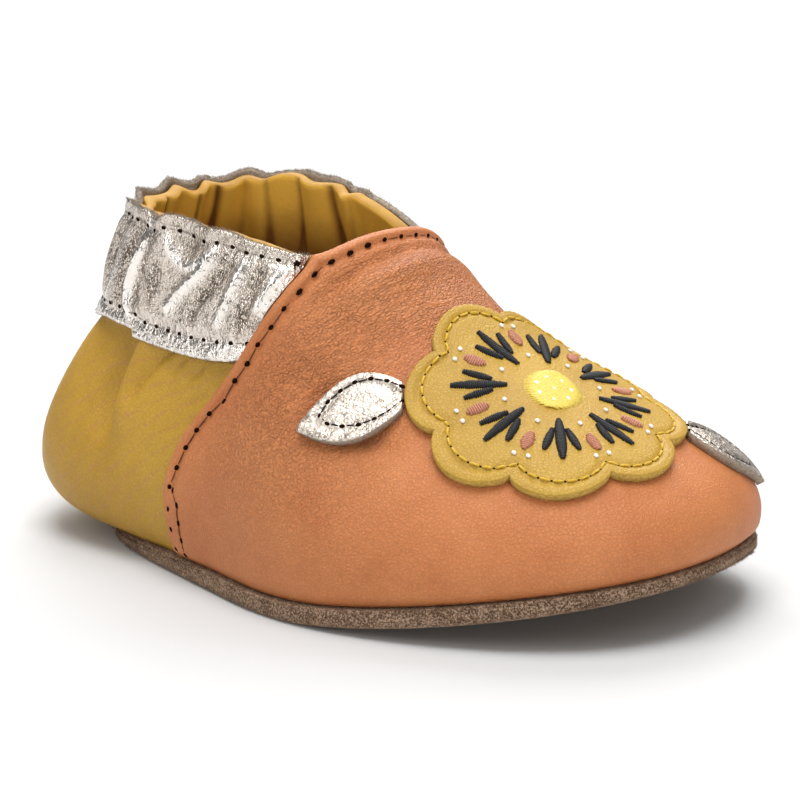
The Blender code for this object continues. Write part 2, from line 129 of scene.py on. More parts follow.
# The vamp's outer edge: its section u at wall heights v, rounded over a span of v
VAMP_EDGE_V = (0.0, 0.25, 0.45, 0.58, 0.7, 0.85, 1.0)
VAMP_EDGE_U = (3.37, 3.37, 3.25, 3.08, 2.91, 2.56, 1.95)
EDGE_BLUR = 0.06
EDGE_CLEARANCE = 0.03
VAMP_MIDDLE_V = 0.6

# Gathers that the elastic pulls into the cuff, between the two waist sections
GATHERED_FROM = 3.0
GATHERED_TO = 9.0
GATHERS = 11
GATHER_DEPTH = 0.9
GATHER_DRIFT = 0.016
GATHER_DRIFT_WAVES = 3.0
GATHER_DRIFT_SHIFT = 0.5
GATHER_FADE = 0.06
GATHER_FROM_V = 0.72
GATHER_FULL_V = 0.85
UNEVEN_SHARE = 0.35
UNEVEN_WAVES = 5.0
UNEVEN_SHIFT = 0.6
RIM_WAVE = 0.5
RIM_WAVE_SHIFT = 1.0

# Flower patch and its two leaves, on the vamp
FLOWER_U = 0.5
FLOWER_V = 0.48
FLOWER_RADIUS = 21.0
FLOWER_PETALS = 8
FLOWER_NOTCH = 0.13
FLOWER_SWELL = 0.25
LEAF_LENGTH = 13.5
LEAF_HALF_WIDTH = 5.0
LEAF_STALK_HALF_WIDTH = 2.2
LEAF_TIP_HALF_WIDTH = 0.4
LEAF_SWELL = 0.15
LEAF_CRACKLE = 0.6
LEAF_TURNS = {"applique_leaf_lateral": math.radians(-135.0), "applique_leaf_medial": math.radians(45.0)}
RAY_HEIGHT = 20.0

# Fine steps of the meshes
FRONT_STEPS = 130
BACK_STEPS = 330
WALL_STEPS = 44
RIM_STEPS = 26
VAMP_STEPS = 90
VAMP_EDGE_STEPS = 12
VAMP_EDGE_FROM = 0.965
THROAT_FROM = 0.95
CUFF_SIDE_STEPS = 30
CUFF_BACK_STEPS = 440
CUFF_STEPS = 40
SOLE_STEPS = 360
FLOWER_STEPS = 256
FLOWER_RINGS = 28
FLOWER_EDGE_RINGS = 16
LEAF_STEPS = 44
LEAF_STEPS_ACROSS = 28
THREAD_STEPS = 7

# Cut edges and the grooves that stitch rows pull in, with the spans over which relief fades in
EDGE_ROUND = 0.5
VAMP_TUCK = 0.7
VAMP_TUCK_V = 0.035
GROOVE_DEPTH = 0.45
GROOVE_WIDTH = 0.5
GROOVE_FADE_V = (0.2, 0.27)
PUFF = 0.28
PATCH_EDGE_ROUND = 0.25
PATCH_GROOVE = 0.3
PATCH_PUFF = 0.06
DIMPLE_DEPTH = 0.3
DIMPLE_WIDTH = 0.55
CREASES_FROM_EDGE = (2.0, 6.0)
WRINKLES_FROM_EDGE = (1.0, 5.0)

# Stitch rows: their distance from an edge and the pitch of their stitches
STITCH_INSET = 2.1
BAR_INSET = 1.0
BAR_WIDTH = 2.5
BAR_TOP = 0.245
LEAF_STITCH_INSET = 1.6
FLOWER_STITCH_INSET = 1.9
VAMP_PITCH = 3.45
BAR_PITCH = 2.7
CUFF_PITCH = 2.9
LEAF_PITCH = 2.5
FLOWER_PITCH = 2.0

# Threads of the rows: how far they sink and rise, the share of the pitch they cover, and their radius, with
# the size and the sinking of the dark beads that paint the shade in the needle holes
STITCH_COLUMNS = ("sink", "rise", "cover", "radius", "hole", "hole_sink")
STITCHES = {
    "brown": (0.2, 0.14, 0.9, 0.11, (1.3, 0.85, 0.5), 0.12),
    "grey": (0.3, 0.02, 0.6, 0.13, (1.05, 0.8, 0.6), 0.12),
    "yellow": (0.1, 0.2, 0.84, 0.2, (0.45, 0.4, 0.4), 0.1),
    "black": (0.3, 0.06, 0.7, 0.13, (1.1, 0.7, 0.5), 0.12),
}
THREAD_END = 0.55
SEAM_PITCH = 3.0
SEAM_OUT = 0.95
SEAM_HALF_STITCH = 0.75
SEAM_THREAD = 0.065

# Cuff: its stitch rows, as shares of its height, the folds between them and its hem
CUFF_ROW_LOW = 0.16
CUFF_ROW_HIGH = 0.89
CUFF_ROW_WIDTH = 0.045
CUFF_PINCH = 0.35
CUFF_BELLY = 0.2
COARSE_PLEATS = 15.0
COARSE_HEIGHT = 0.40
COARSE_BEND = 0.30
COARSE_BEND_TURN = 23.0
COARSE_DRIFT = 0.25
COARSE_DRIFT_SHIFT = 0.7
SLANT_PLEATS = 23.0
SLANT_HEIGHT = 0.30
SLANT_BEND = 0.9
SLANT_BEND_TURN = 14.0
SLANT_SHIFT = 0.35
PLEAT_SINK = 0.25
HAND_FOLDS_END = 4.2
LOWEST_FOLD = 1.1
HIGHEST_FOLD = 1.5
# Crackle, partly painted shade, fades out on folds above SMOOTH_ABOVE and is full CRACKLE_SPAN lower; the hem
# gets a share
SMOOTH_ABOVE = 0.7
CRACKLE_SPAN = 1.3
HEM_CRACKLE = 0.35
HEM_STEP_U = 3.9
HEM_RISE = 0.02
CUFF_END_THINNING = 0.75
CUFF_END_REACH = 0.25

# Raw rim of the cuff: its rise over the lining, with waves as (height, number, shift)
RIM_OVER = 0.7
RIM_UNEVEN = ((0.3, 7.0, 1.3), (0.1, 17.0, 0.4))
RIM_WINDOW = 6

# Fibres: of the cuff's upper and lower raw edges (row of its grid, number, longest, rise), and of the sole
FUZZ = ((-1, 3200, 0.75, 0.9), (0, 1500, 0.4, -0.7))
FUZZ_SHORTEST = 0.2
FUZZ_SEED = 21
NAP_FIBRES = 26000
NAP_LENGTH = (0.2, 0.6)
NAP_ROOT = 0.12
NAP_SEED = 11
FIBRE_WIDTH = 0.035

# Soft creases: a path of places (u, v) on the last, with the depth of a trough along it (minus is a ridge),
# the height of a fold across it (plus stands proud on the path's left), the width of both, and how far its
# ends take to fade, in millimetres
CREASE_COLUMNS = ("piece", "path", "trough", "fold", "width", "ends")
CREASES = (
    ("quarter", ((3.86, 0.82), (3.88, 0.70), (3.91, 0.55), (3.91, 0.34)), 0.00, 1.45, 3.2, 8.0),
    ("quarter", ((3.98, 0.75), (4.00, 0.55), (3.98, 0.30)), 0.80, 0.00, 2.6, 6.0),
    ("quarter", ((3.50, 0.75), (3.60, 0.67), (3.72, 0.55), (3.80, 0.46)), 0.70, 0.45, 1.4, 4.0),
    ("quarter", ((3.40, 0.72), (3.46, 0.65), (3.56, 0.60)), 0.35, 0.20, 0.8, 2.5),
    ("quarter", ((3.24, 0.70), (3.30, 0.64), (3.42, 0.60)), 0.35, 0.20, 0.8, 2.5),
    ("quarter", ((3.16, 0.62), (3.24, 0.55), (3.38, 0.50)), 0.30, 0.15, 0.8, 2.5),
    ("quarter", ((3.30, 0.48), (3.44, 0.42)), 0.25, 0.10, 0.9, 2.5),
    ("quarter", ((5.10, 0.74), (5.00, 0.30)), 0.40, 0.60, 2.6, 7.0),
    ("quarter", ((6.70, 0.74), (6.90, 0.28)), 0.40, -0.70, 2.8, 7.0),
    ("quarter", ((8.10, 0.76), (8.00, 0.24)), 0.40, 0.90, 2.8, 7.0),
    ("vamp", ((2.25, 0.70), (2.09, 0.74), (1.76, 0.824), (1.48, 0.879), (1.03, 0.91), (0.13, 0.91),
              (-1.00, 0.905), (-1.60, 0.86), (-2.20, 0.76)), 0.70, -0.60, 2.0, 9.0),
    ("vamp", ((1.70, 0.79), (1.00, 0.855), (0.10, 0.86), (-1.00, 0.85)), -0.55, 0.00, 2.4, 9.0),
    ("vamp", ((2.20, 0.64), (2.03, 0.593), (1.69, 0.442), (1.50, 0.36)), 1.05, 0.35, 3.2, 8.0),
    ("vamp", ((2.35, 0.56), (1.95, 0.66)), 0.50, 0.15, 1.6, 4.0),
    ("vamp", ((2.00, 0.80), (1.60, 0.66)), 0.45, -0.20, 2.2, 5.0),
    ("vamp", ((-2.50, 0.55), (-1.75, 0.36)), 0.60, 0.30, 3.0, 7.0),
    ("cuff", ((4.02, 1.00), (4.08, 0.94), (4.12, 0.87), (4.12, 0.81), (4.07, 0.77), (4.00, 0.73)),
     -1.35, 0.00, 0.95, 1.5),
    ("cuff", ((4.21, 0.99), (4.26, 0.90), (4.26, 0.82), (4.20, 0.73)), 0.85, 0.00, 1.2, 2.0),
    ("cuff", ((3.93, 0.98), (3.99, 0.90), (4.00, 0.83), (3.94, 0.76)), 0.65, 0.00, 1.0, 2.0),
    ("cuff", ((3.82, 0.98), (3.76, 0.945), (3.67, 0.91), (3.54, 0.905), (3.40, 0.935), (3.26, 0.97)),
     -0.95, 0.00, 0.75, 1.5),
    ("cuff", ((3.66, 0.965), (3.58, 0.945), (3.44, 0.965)), 0.70, 0.00, 0.9, 1.5),
    ("cuff", ((3.84, 0.92), (3.80, 0.85), (3.84, 0.77)), 0.50, 0.00, 1.1, 2.0),
    ("cuff", ((3.26, 0.955), (3.42, 0.895), (3.58, 0.84), (3.68, 0.77)), -1.00, 0.00, 0.95, 2.0),
    ("cuff", ((3.12, 0.95), (3.26, 0.89), (3.38, 0.82), (3.44, 0.76)), 0.75, 0.00, 0.9, 2.0),
    ("cuff", ((2.98, 0.97), (3.06, 0.90), (3.14, 0.83), (3.18, 0.76)), -0.95, 0.00, 1.0, 2.0),
    ("cuff", ((2.76, 0.96), (2.86, 0.88), (2.98, 0.76)), 0.65, 0.00, 1.0, 2.0),
    ("cuff", ((2.44, 0.97), (2.60, 0.90), (2.78, 0.80)), -0.75, 0.00, 1.3, 2.0),
)

# A fold steps over this share of its width and fades out over so many widths, as a whole crease does
FOLD_SHARPNESS = 0.3
FOLD_REACH = 2.2
CREASE_REACH = 3.0

# Spots of the vamp where fine cross wrinkles gather: place, reach in millimetres and strength
WRINKLE_COLUMNS = ("u", "v", "reach", "strength")
WRINKLED = (
    (1.5, 0.80, 9.0, 0.55), (0.9, 0.82, 10.0, 0.85), (0.2, 0.81, 11.0, 0.95), (-0.6, 0.82, 10.0, 0.85),
    (-1.4, 0.78, 10.0, 0.60), (2.05, 0.60, 9.0, 0.80), (1.75, 0.48, 8.0, 0.65), (2.5, 0.50, 10.0, 0.50),
    (2.6, 0.30, 11.0, 0.45), (2.0, 0.28, 12.0, 0.42), (-2.2, 0.50, 12.0, 0.55), (-2.4, 0.25, 12.0, 0.25),
)
WRINKLE_ALONG = (0.32, 0.89, 0.32)

# Lining pleats: creases around the gathered wall, each with its own place, width and depth, fading in and
# growing dark over spans of v, as painted shade in the creases and lower down inside the shoe
PLEATS = 16
PLEAT_STRAY = 0.34
PLEAT_WIDTH = (0.9, 1.8)
PLEAT_DEPTH = (0.15, 1.05)
PLEAT_LEAN = 0.06
PLEAT_WOBBLE = 0.006
PLEAT_WOBBLE_TURN = 14.0
PLEAT_MIDDLE_V = 0.85
PLEAT_SHARPNESS = 1.25
PLEAT_FADE_V = (0.45, 0.8)
PLEAT_SHADE = 0.75
PLEAT_SEED = 8
LINING_PUFF = 0.3
INSIDE_FADE_V = (0.74, 0.97)
INSIDE_SHADE = 0.95
# Rolled rim: height, and share of the lining's darker tone, partly raw-edge colour, partly painted shade
ROLL_HEIGHT = 0.3
ROLL_SHADE = 0.45

# Embroidery: its middle and knots, the veins of a petal as (lean, start, end, half width), and the small
# ovals and dots between petals
DISC_RADIUS = (4.6, 4.6)
DISC_TURN = 0.6
KNOTS_IN_RING = 7
KNOT_RING_RADIUS = 2.7
KNOT_SIZE = 0.95
VEINS = ((0.0, 7.0, 15.2, 0.85), (0.19, 9.2, 13.6, 0.65), (-0.19, 9.2, 13.6, 0.65))
VEIN_START_LEAN = 0.6
OVAL_RADIUS = (1.0, 1.7)
OVAL_AWAY = 12.4
DOTS_AWAY = (8.2, 15.2, 15.2)
DOTS_LEAN = (0.0, 0.07, -0.07)
DOT_SIZE = 0.85
SATIN_RISE = 0.28
SATIN_SINK = 0.1
SATIN_RADIUS = 0.18
EMBROIDERY_SEED = 5

# Camera: the photograph's angle, with the shoe filling more of the frame
VIEW_AZIMUTH = 40.0
VIEW_ELEVATION = 14.5
VIEW_DISTANCE = 550.0
VIEW_TARGET = (57.0, 0.0, 20.0)
AIM_RIGHT = 2.8
AIM_UP = 5.6
LENS = 160.0
SENSOR = 36.0

# Lights: place and size in metres, and power
LIGHTS = {
    "key": ((0.10, -0.10, 1.0), (0.6, 0.6), 8.5),
    "back": ((-0.45, 0.62, 0.80), (0.7, 0.7), 9.0),
    "front": ((0.96, -0.38, 0.15), (0.4, 0.3), 2.8),
    "side": ((-0.45, -0.90, 0.38), (0.25, 0.6), 2.3),
}
LIGHT_AIM = (0.0, 0.0, 0.02)
ROOM_STRENGTH = 0.65
FLOOR_REACH = 3.0

# Colours, as linear light
TAN = (0.572, 0.205, 0.068)
TAN_DEEP = (0.49, 0.157, 0.0475)
MUSTARD = (0.515, 0.293, 0.028)
MUSTARD_DEEP = (0.425, 0.23, 0.018)
PATCH = (0.50, 0.30, 0.034)
PATCH_DEEP = (0.42, 0.24, 0.024)
MUSTARD_PRINT = (0.44, 0.175, 0.08)
LINING = (0.74, 0.41, 0.05)
# Painted shade of the lining, in its creases, lower down inside and on its rolled rim
LINING_SHADED = (0.155, 0.055, 0.005)
# Foil on its high folds, a painted highlight
FOIL_RIDGE_HIGHLIGHT = (0.93, 0.88, 0.82)
FOIL = (0.74, 0.655, 0.57)
FOIL_MIDDLE = (0.60, 0.57, 0.54)
FOIL_DARK = (0.13, 0.115, 0.10)
SUEDE = (0.185, 0.110, 0.067)
SUEDE_DEEP = (0.068, 0.038, 0.022)
NAP = (0.51, 0.36, 0.25)
RAW_GREY = (0.40, 0.33, 0.26)
RAW_YELLOW = (0.62, 0.42, 0.10)
RAW_TAN = (0.50, 0.18, 0.075)

# Threads, and the painted shade of a needle hole: colour, roughness, sheen and specular level
THREADS = {
    "brown": ((0.15, 0.055, 0.028), 0.75, 0.03, 0.15),
    "grey": ((0.30, 0.25, 0.21), 0.55, 0.15, 0.4),
    "yellow": ((0.70, 0.44, 0.02), 0.55, 0.15, 0.4),
    "black": ((0.008, 0.008, 0.010), 0.55, 0.04, 0.3),
    "pale": ((0.86, 0.66, 0.10), 0.4, 0.15, 0.4),
    "pink": ((0.52, 0.20, 0.11), 0.55, 0.15, 0.4),
    "white": ((0.88, 0.86, 0.80), 0.5, 0.15, 0.4),
}
NEEDLE_HOLE_SHADE = ((0.016, 0.007, 0.005), 0.95, 0.0, 0.0)

# Dotted stripes printed on the quarter
STRIPE_TURN = math.radians(37.0)
STRIPE_GAP = 3.0
STRIPE_DOTS = 1.05
STRIPE_DOT_RADIUS = 0.3
STRIPE_WANDER = 0.7


# The last, as in the solids

def smooth_step(value, start, end):
    """0 before start, 1 after end, and a soft ramp between them."""
    t = np.clip((value - start) / (end - start), 0.0, 1.0)
    return t * t * (3.0 - 2.0 * t)


def unit(vectors):
    """Vectors of length one."""
    return vectors / np.maximum(np.linalg.norm(vectors, axis=-1, keepdims=True), 1e-9)


def walked(line):
    """Distance along a line to each of its points."""
    return np.concatenate([[0.0], np.cumsum(np.linalg.norm(np.diff(line, axis=0), axis=-1))])


def underside(x, y):
    """Height of the sole's underside: flat under heel and forefoot, with toe spring, heel lift and arch."""
    toe = np.clip((x - TOE_SPRING_START) / (SOLE_LENGTH - TOE_SPRING_START), 0.0, None)
    heel = np.clip((HEEL_LIFT_END - x) / HEEL_LIFT_END, 0.0, None)
    along = np.clip(1.0 - ((x - ARCH_MIDDLE) / ARCH_REACH) ** 2, 0.0, None) ** 2
    arch = ARCH_LIFT * along * smooth_step(y, ARCH_OUTER_Y, ARCH_INNER_Y)
    return TOE_SPRING * toe ** SPRING_POWER + HEEL_LIFT * heel ** SPRING_POWER + arch


def ring_points(part):
    """The twelve section points of one ring of the last: base, cuff or rim."""
    along = SOLE_LENGTH * TABLE[part + "_along"] / 100.0
    across = BALL_WIDTH * TABLE[part + "_across"] / 100.0
    if part == "base":
        height = underside(along, across) + TABLE["edge"]
    else:
        level = np.where(TABLE["level"] == "front", INSTEP_HEIGHT, HEEL_HEIGHT)
        height = level * TABLE[part + "_up"] / 100.0
    return np.stack([along, across, height], axis=-1)


def closed_spline(values, u):
    """A smooth closed cubic through one value (or point) per section."""
    count = len(values)
    one = np.eye(count)
    system = 4.0 * one + np.roll(one, 1, axis=0) + np.roll(one, -1, axis=0)
    slope = np.linalg.solve(system, 3.0 * (np.roll(values, -1, axis=0) - np.roll(values, 1, axis=0)))
    u = np.asarray(u, dtype=float)
    first = np.floor(u).astype(int) % count
    second = (first + 1) % count
    t = u - np.floor(u)
    if values.ndim > 1:
        t = t[..., None]
    near = (1.0 + 2.0 * t) * (1.0 - t) ** 2 * values[first] + t * (1.0 - t) ** 2 * slope[first]
    far = t * t * (3.0 - 2.0 * t) * values[second] + t * t * (t - 1.0) * slope[second]
    return near + far


def on_ring(part, u):
    """Points of one ring of the last at sections u."""
    return closed_spline(ring_points(part), u)


def outward(u):
    """Level direction pointing away from the foot at the sole seam."""
    along = on_ring("base", u + SLOPE_STEP) - on_ring("base", u - SLOPE_STEP)
    return unit(np.stack([-along[..., 1], along[..., 0], 0.0 * along[..., 0]], axis=-1))


def last_surface(u, v):
    """Point of the last: a Bezier wall from the seam to the cuff line, then straight up to the rim."""
    base, cuff, rim = [on_ring(part, u) for part in ("base", "cuff", "rim")]
    shape = [closed_spline(TABLE[name], u)[..., None] for name in ("lean", "rise", "pull", "swell")]
    lean, rise, pull, swell = shape
    away = outward(u)
    low = base + away * lean + UP * rise
    high = cuff + unit(cuff - rim) * pull + away * swell
    t = np.clip(v / CUFF_LINE, 0.0, 1.0)[..., None]
    wall = (1 - t) ** 3 * base + 3 * t * (1 - t) ** 2 * low + 3 * t * t * (1 - t) * high + t ** 3 * cuff
    above = np.clip((v - CUFF_LINE) / (1.0 - CUFF_LINE), 0.0, 1.0)[..., None]
    return wall + (rim - cuff) * above


def last_normal(u, v):
    """Outward normal of the last, turned level at the sole seam so that every layer ends level there."""
    low = np.clip(v - SLOPE_STEP, 0.0, 1.0)
    high = np.clip(v + SLOPE_STEP, 0.0, 1.0)
    around = last_surface(u + SLOPE_STEP, v) - last_surface(u - SLOPE_STEP, v)
    upward = last_surface(u, high) - last_surface(u, low)
    normal = unit(np.cross(upward, around))
    normal[..., 2] *= smooth_step(v, 0.0, LEVEL_BELOW)
    return unit(normal)


def gathered_share():
    """Sections u around the back, and the share of the gathered rim's length that each one has passed."""
    sections = np.linspace(GATHERED_FROM, GATHERED_TO, 121)
    passed = walked(on_ring("rim", sections))
    return sections, passed / passed[-1]


def wall_turns(u):
    """Share of the gathered rim passed at each section, and how far the gathers fade in there."""
    share = np.interp(u % ROUND, *gathered_share())
    inside = smooth_step(share, 0.0, GATHER_FADE) * smooth_step(1.0 - share, 0.0, GATHER_FADE)
    return share, inside


def gathers(u, v):
    """How far the gathers of the cuff stand off the last, and how far they lift the rim."""
    share, inside = wall_turns(u)
    drift = GATHER_DRIFT * np.sin(FULL_TURN * GATHER_DRIFT_WAVES * share + GATHER_DRIFT_SHIFT)
    turn = FULL_TURN * (share + drift)
    uneven = 1.0 - UNEVEN_SHARE + UNEVEN_SHARE * np.cos(UNEVEN_WAVES * turn + UNEVEN_SHIFT)
    grown = smooth_step(v, GATHER_FROM_V, GATHER_FULL_V)
    swell = GATHER_DEPTH * inside * uneven * np.cos(GATHERS * turn) * grown
    raised = smooth_step(v, GATHER_FULL_V, 1.0)
    lift = RIM_WAVE * inside * uneven * np.cos(GATHERS * turn + RIM_WAVE_SHIFT) * raised
    return swell, lift


def layer(u, v, offset):
    """Point of a leather layer that lies offset millimetres outside the last."""
    u, v, offset = np.broadcast_arrays(*[np.asarray(value, dtype=float) for value in (u, v, offset)])
    swell, lift = gathers(u, v)
    return last_surface(u, v) + last_normal(u, v) * (offset + swell)[..., None] + UP * lift[..., None]


def vamp_edge(v):
    """Section u of the vamp's outer edge at wall height v, rounded between the given heights."""
    nearby = np.linspace(-EDGE_BLUR, EDGE_BLUR, 7)
    return np.mean([np.interp(v + move, VAMP_EDGE_V, VAMP_EDGE_U) for move in nearby], axis=0)


def sole_ring(beyond, height, share=1.0, up=0.0, lip=0.0):
    """A ring that lies beyond the sole seam, by a distance plus a share of the lip, drawn in by share.

    Its height is measured from the underside (up is 0), from the sole seam (up is 1) or from between them.
    """
    u = np.arange(SOLE_STEPS) * ROUND / SOLE_STEPS
    seam = on_ring("base", u)
    edge = seam + outward(u) * (beyond + lip * closed_spline(TABLE["lip"], u))[:, None]
    axis_x = np.clip(edge[:, 0], AXIS_FROM * SOLE_LENGTH, AXIS_TO * SOLE_LENGTH)
    axis = np.stack([axis_x, AXIS_SLANT * BALL_WIDTH * axis_x / SOLE_LENGTH], axis=-1)
    ring = edge.copy()
    ring[:, :2] = axis + (edge[:, :2] - axis) * share
    bottom = underside(ring[:, 0], ring[:, 1])
    ring[:, 2] = bottom + up * (seam[:, 2] - bottom) + height
    return ring


def last_place():
    """Where the last's own origin lies in the frame, in millimetres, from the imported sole."""
    lip = sole_ring(0.0, 0.0, lip=1.0)
    low, high = np.array(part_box("outsole")) / MM
    middle = (low + high) / 2.0 - (lip.min(axis=0) + lip.max(axis=0)) / 2.0
    return np.array([middle[0], middle[1], low[2]])


LAST_PLACE = last_place()


# Meshes

def make_piece(name, points, faces, materials, face_slots=None, maps=None):
    """One named piece from millimetre points on the last, riding on the shoe's body.

    maps holds values of each point for the materials: pairs become a UV map, single values an attribute.
    """
    points = np.asarray(points, dtype=float).reshape(-1, 3)
    mesh = bpy.data.meshes.new(name)
    mesh.from_pydata(((points + LAST_PLACE) * MM).tolist(), [], [list(face) for face in faces])
    for material in materials:
        mesh.materials.append(material)
    if face_slots is not None:
        mesh.polygons.foreach_set("material_index", np.asarray(face_slots, dtype=np.int32))
    turn_faces_out(mesh)
    mesh.shade_smooth()
    for map_name, values in (maps or {}).items():
        add_map(mesh, map_name, np.asarray(values, dtype=np.float32))
    piece = bpy.data.objects.new(name, mesh)
    bpy.context.collection.objects.link(piece)
    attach(piece, "root")
    return piece


def turn_faces_out(mesh):
    bm = bmesh.new()
    bm.from_mesh(mesh)
    bmesh.ops.recalc_face_normals(bm, faces=bm.faces)
    bm.to_mesh(mesh)
    bm.free()


def add_map(mesh, name, values):
    """A UV map or a single-value attribute from one entry per point."""
    if values.shape[-1] == 2 and values.ndim > 1:
        corners = np.zeros(len(mesh.loops), dtype=np.int32)
        mesh.loops.foreach_get("vertex_index", corners)
        uv = mesh.uv_layers.new(name=name)
        uv.data.foreach_set("uv", values.reshape(-1, 2)[corners].ravel())
    else:
        attribute = mesh.attributes.new(name, "FLOAT", "POINT")
        attribute.data.foreach_set("value", values.ravel())


def grid_faces(rows, columns, closed_rows=False, closed_columns=False):
    """Quads of a grid of points, as an array of point numbers."""
    i, j = np.meshgrid(np.arange(rows if closed_rows else rows - 1),
                       np.arange(columns if closed_columns else columns - 1), indexing="ij")
    after = (i + 1) % rows
    beside = (j + 1) % columns
    quads = [i * columns + j, after * columns + j, after * columns + beside, i * columns + beside]
    return np.stack(quads, axis=-1).reshape(-1, 4)


def border(rows, columns):
    """Point numbers around the edge of an open grid."""
    bottom = [i * columns for i in range(rows)]
    right = [(rows - 1) * columns + j for j in range(1, columns)]
    top = [i * columns + columns - 1 for i in range(rows - 2, -1, -1)]
    left = list(range(columns - 2, 0, -1))
    return bottom + right + top + left


def join_loops(first, second):
    """Quads between two closed loops of point numbers."""
    return np.stack([first, np.roll(first, -1), np.roll(second, -1), second], axis=-1)


def sheet_parts(outer, inner):
    """Points, faces and face slots (0 face, 1 edge and back) of a sheet with an outer and an inner grid."""
    rows, columns = outer.shape[:2]
    count = rows * columns
    points = np.concatenate([outer.reshape(-1, 3), inner.reshape(-1, 3)])
    face = grid_faces(rows, columns)
    edge = np.array(border(rows, columns))
    faces = np.concatenate([face, face + count, join_loops(edge, edge + count)])
    slots = np.concatenate([np.zeros(len(face)), np.ones(len(faces) - len(face))])
    return points, faces, slots


def ring_parts(rings):
    """Points and faces of a solid from closed rings, capped at both ends by rungs across the shoe."""
    steps = len(rings[0])
    faces = list(grid_faces(len(rings), steps, closed_columns=True))
    for start in (0, (len(rings) - 1) * steps):
        for i in range(steps // 2):
            rung = (i, i + 1, (steps - i - 1) % steps, (steps - i) % steps)
            faces.append([start + place for place in dict.fromkeys(rung)])
    return np.concatenate(rings), faces


def joined(parts):
    """Points and faces of several groups as one mesh."""
    points = []
    faces = []
    start = 0
    for group_points, group_faces in parts:
        points.append(group_points)
        faces += [[place + start for place in face] for face in group_faces]
        start += len(group_points)
    return np.concatenate(points), faces


def make_by_colour(prefix, groups, materials):
    """One piece for each colour, of all its parts."""
    pieces = []
    for colour, parts in groups.items():
        pieces.append(make_piece(prefix + colour, *joined(parts), [materials[colour]]))
    return pieces


def search_tree(outer):
    """Search tree of one grid of points."""
    rows, columns = outer.shape[:2]
    return BVHTree.FromPolygons(outer.reshape(-1, 3).tolist(), grid_faces(rows, columns).tolist())


def hits(found, shape):
    """Places and normals that a search tree found, as arrays."""
    return [np.array([hit[part] for hit in found]).reshape(shape) for part in (0, 1)]


def nearest_on(points, tree):
    """Nearest places on a surface, and its normals there."""
    return hits([tree.find_nearest(Vector(point)) for point in points.reshape(-1, 3)], points.shape)


def nearest_in_line(points, line):
    """For each point, the number of the nearest point of a line."""
    tree = KDTree(len(line))
    for place, point in enumerate(line):
        tree.insert(point, place)
    tree.balance()
    return np.array([tree.find(point)[1] for point in points.reshape(-1, 3)]).reshape(points.shape[:-1])


def distance_to_line(points, line):
    """Distance from each point to a line of close points."""
    return np.linalg.norm(points - line[nearest_in_line(points, line)], axis=-1)


def spaced(line, count):
    """So many points, evenly spaced along a line."""
    passed = walked(line)
    places = np.linspace(0.0, passed[-1], count)
    return np.stack([np.interp(places, passed, line[:, axis]) for axis in range(line.shape[1])], axis=-1)


def evenly(line, step, closed=False):
    """The same line with its points evenly spaced, about step millimetres apart."""
    if closed:
        line = np.concatenate([line, line[:1]])
    points = spaced(line, max(2, int(round(walked(line)[-1] / step)) + 1))
    return points[:-1] if closed else points


def soften(line, window):
    """A line with its corners rounded over a window of points."""
    padded = np.concatenate([np.repeat(line[:1], window, axis=0), line, np.repeat(line[-1:], window, axis=0)])
    kernel = np.ones(2 * window + 1) / (2 * window + 1)
    rounded = [np.convolve(padded[:, axis], kernel, mode="valid") for axis in range(line.shape[1])]
    return np.stack(rounded, axis=-1)


def two_paces(change, first, second):
    """Values from 0 to 1: so many up to the change, and so many at another pace beyond it."""
    return np.concatenate([np.linspace(0.0, change, first), np.linspace(change, 1.0, second + 1)[1:]])


# Relief of the leather

def creases(piece, points):
    """Soft troughs and folds of a piece: how far each of its points moves out."""
    relief = np.zeros(points.shape[:-1])
    for row in CREASES:
        crease = dict(zip(CREASE_COLUMNS, row))
        if crease["piece"] != piece:
            continue
        u, v = soften(spaced(np.array(crease["path"]), 91), 7).T
        line = last_surface(u, v)
        left = unit(np.cross(last_normal(u, v), np.gradient(line, axis=0)))
        passed = walked(line)
        ends = crease["ends"]
        fade = smooth_step(passed, 0.0, ends) * smooth_step(passed[-1] - passed, 0.0, ends)
        near = nearest_in_line(points, line)
        away = np.sum((points - line[near]) * left[near], axis=-1) / crease["width"]
        trough = -crease["trough"] * np.exp(-away ** 2)
        fold = crease["fold"] * np.tanh(away / FOLD_SHARPNESS) * np.exp(-(away / FOLD_REACH) ** 2)
        beyond = np.linalg.norm(points - line[near], axis=-1) / crease["width"]
        relief += (trough + fold) * fade[near] * np.exp(-np.clip(beyond - CREASE_REACH, 0.0, None) ** 2)
    return relief


def edge_drop(distance, radius=EDGE_ROUND):
    """Fall of the surface towards a cut edge, as a quarter round."""
    inside = np.clip(radius - distance, 0.0, radius)
    return radius - np.sqrt(radius ** 2 - inside ** 2)


def groove(distance, inset, depth=GROOVE_DEPTH, puff=PUFF):
    """Shallow groove that a stitch row pulls in, with the band beside it puffed up."""
    pulled = depth * np.exp(-((distance - inset) / GROOVE_WIDTH) ** 2)
    puffed = puff * np.exp(-((distance - 0.5 * inset) / (0.3 * inset)) ** 2)
    return puffed - pulled


def dimples(points, holes):
    """Small dents that the needle holes leave in the leather."""
    return -DIMPLE_DEPTH * np.exp(-(distance_to_line(points, holes) / DIMPLE_WIDTH) ** 2)


# Threads and other small things, made as joined meshes from arrays

def turns(count):
    """So many angles, evenly spaced around a circle."""
    return np.arange(count) * FULL_TURN / count


def capped_tubes(points):
    """Points and faces of many tubes with closed ends, from an array of tubes, their rings and sides."""
    count, rings, sides = points.shape[:3]
    one = grid_faces(rings, sides, closed_columns=True).tolist()
    one += [list(range(sides)), list(range((rings - 1) * sides, rings * sides))]
    faces = [[place + k * rings * sides for place in face] for k in range(count) for face in one]
    return points.reshape(-1, 3), faces


def around_axis(across, over, sides):
    """Directions around an axis, from two directions across it."""
    turn = turns(sides)[:, None]
    return across[..., None, :] * np.cos(turn) + over[..., None, :] * np.sin(turn)


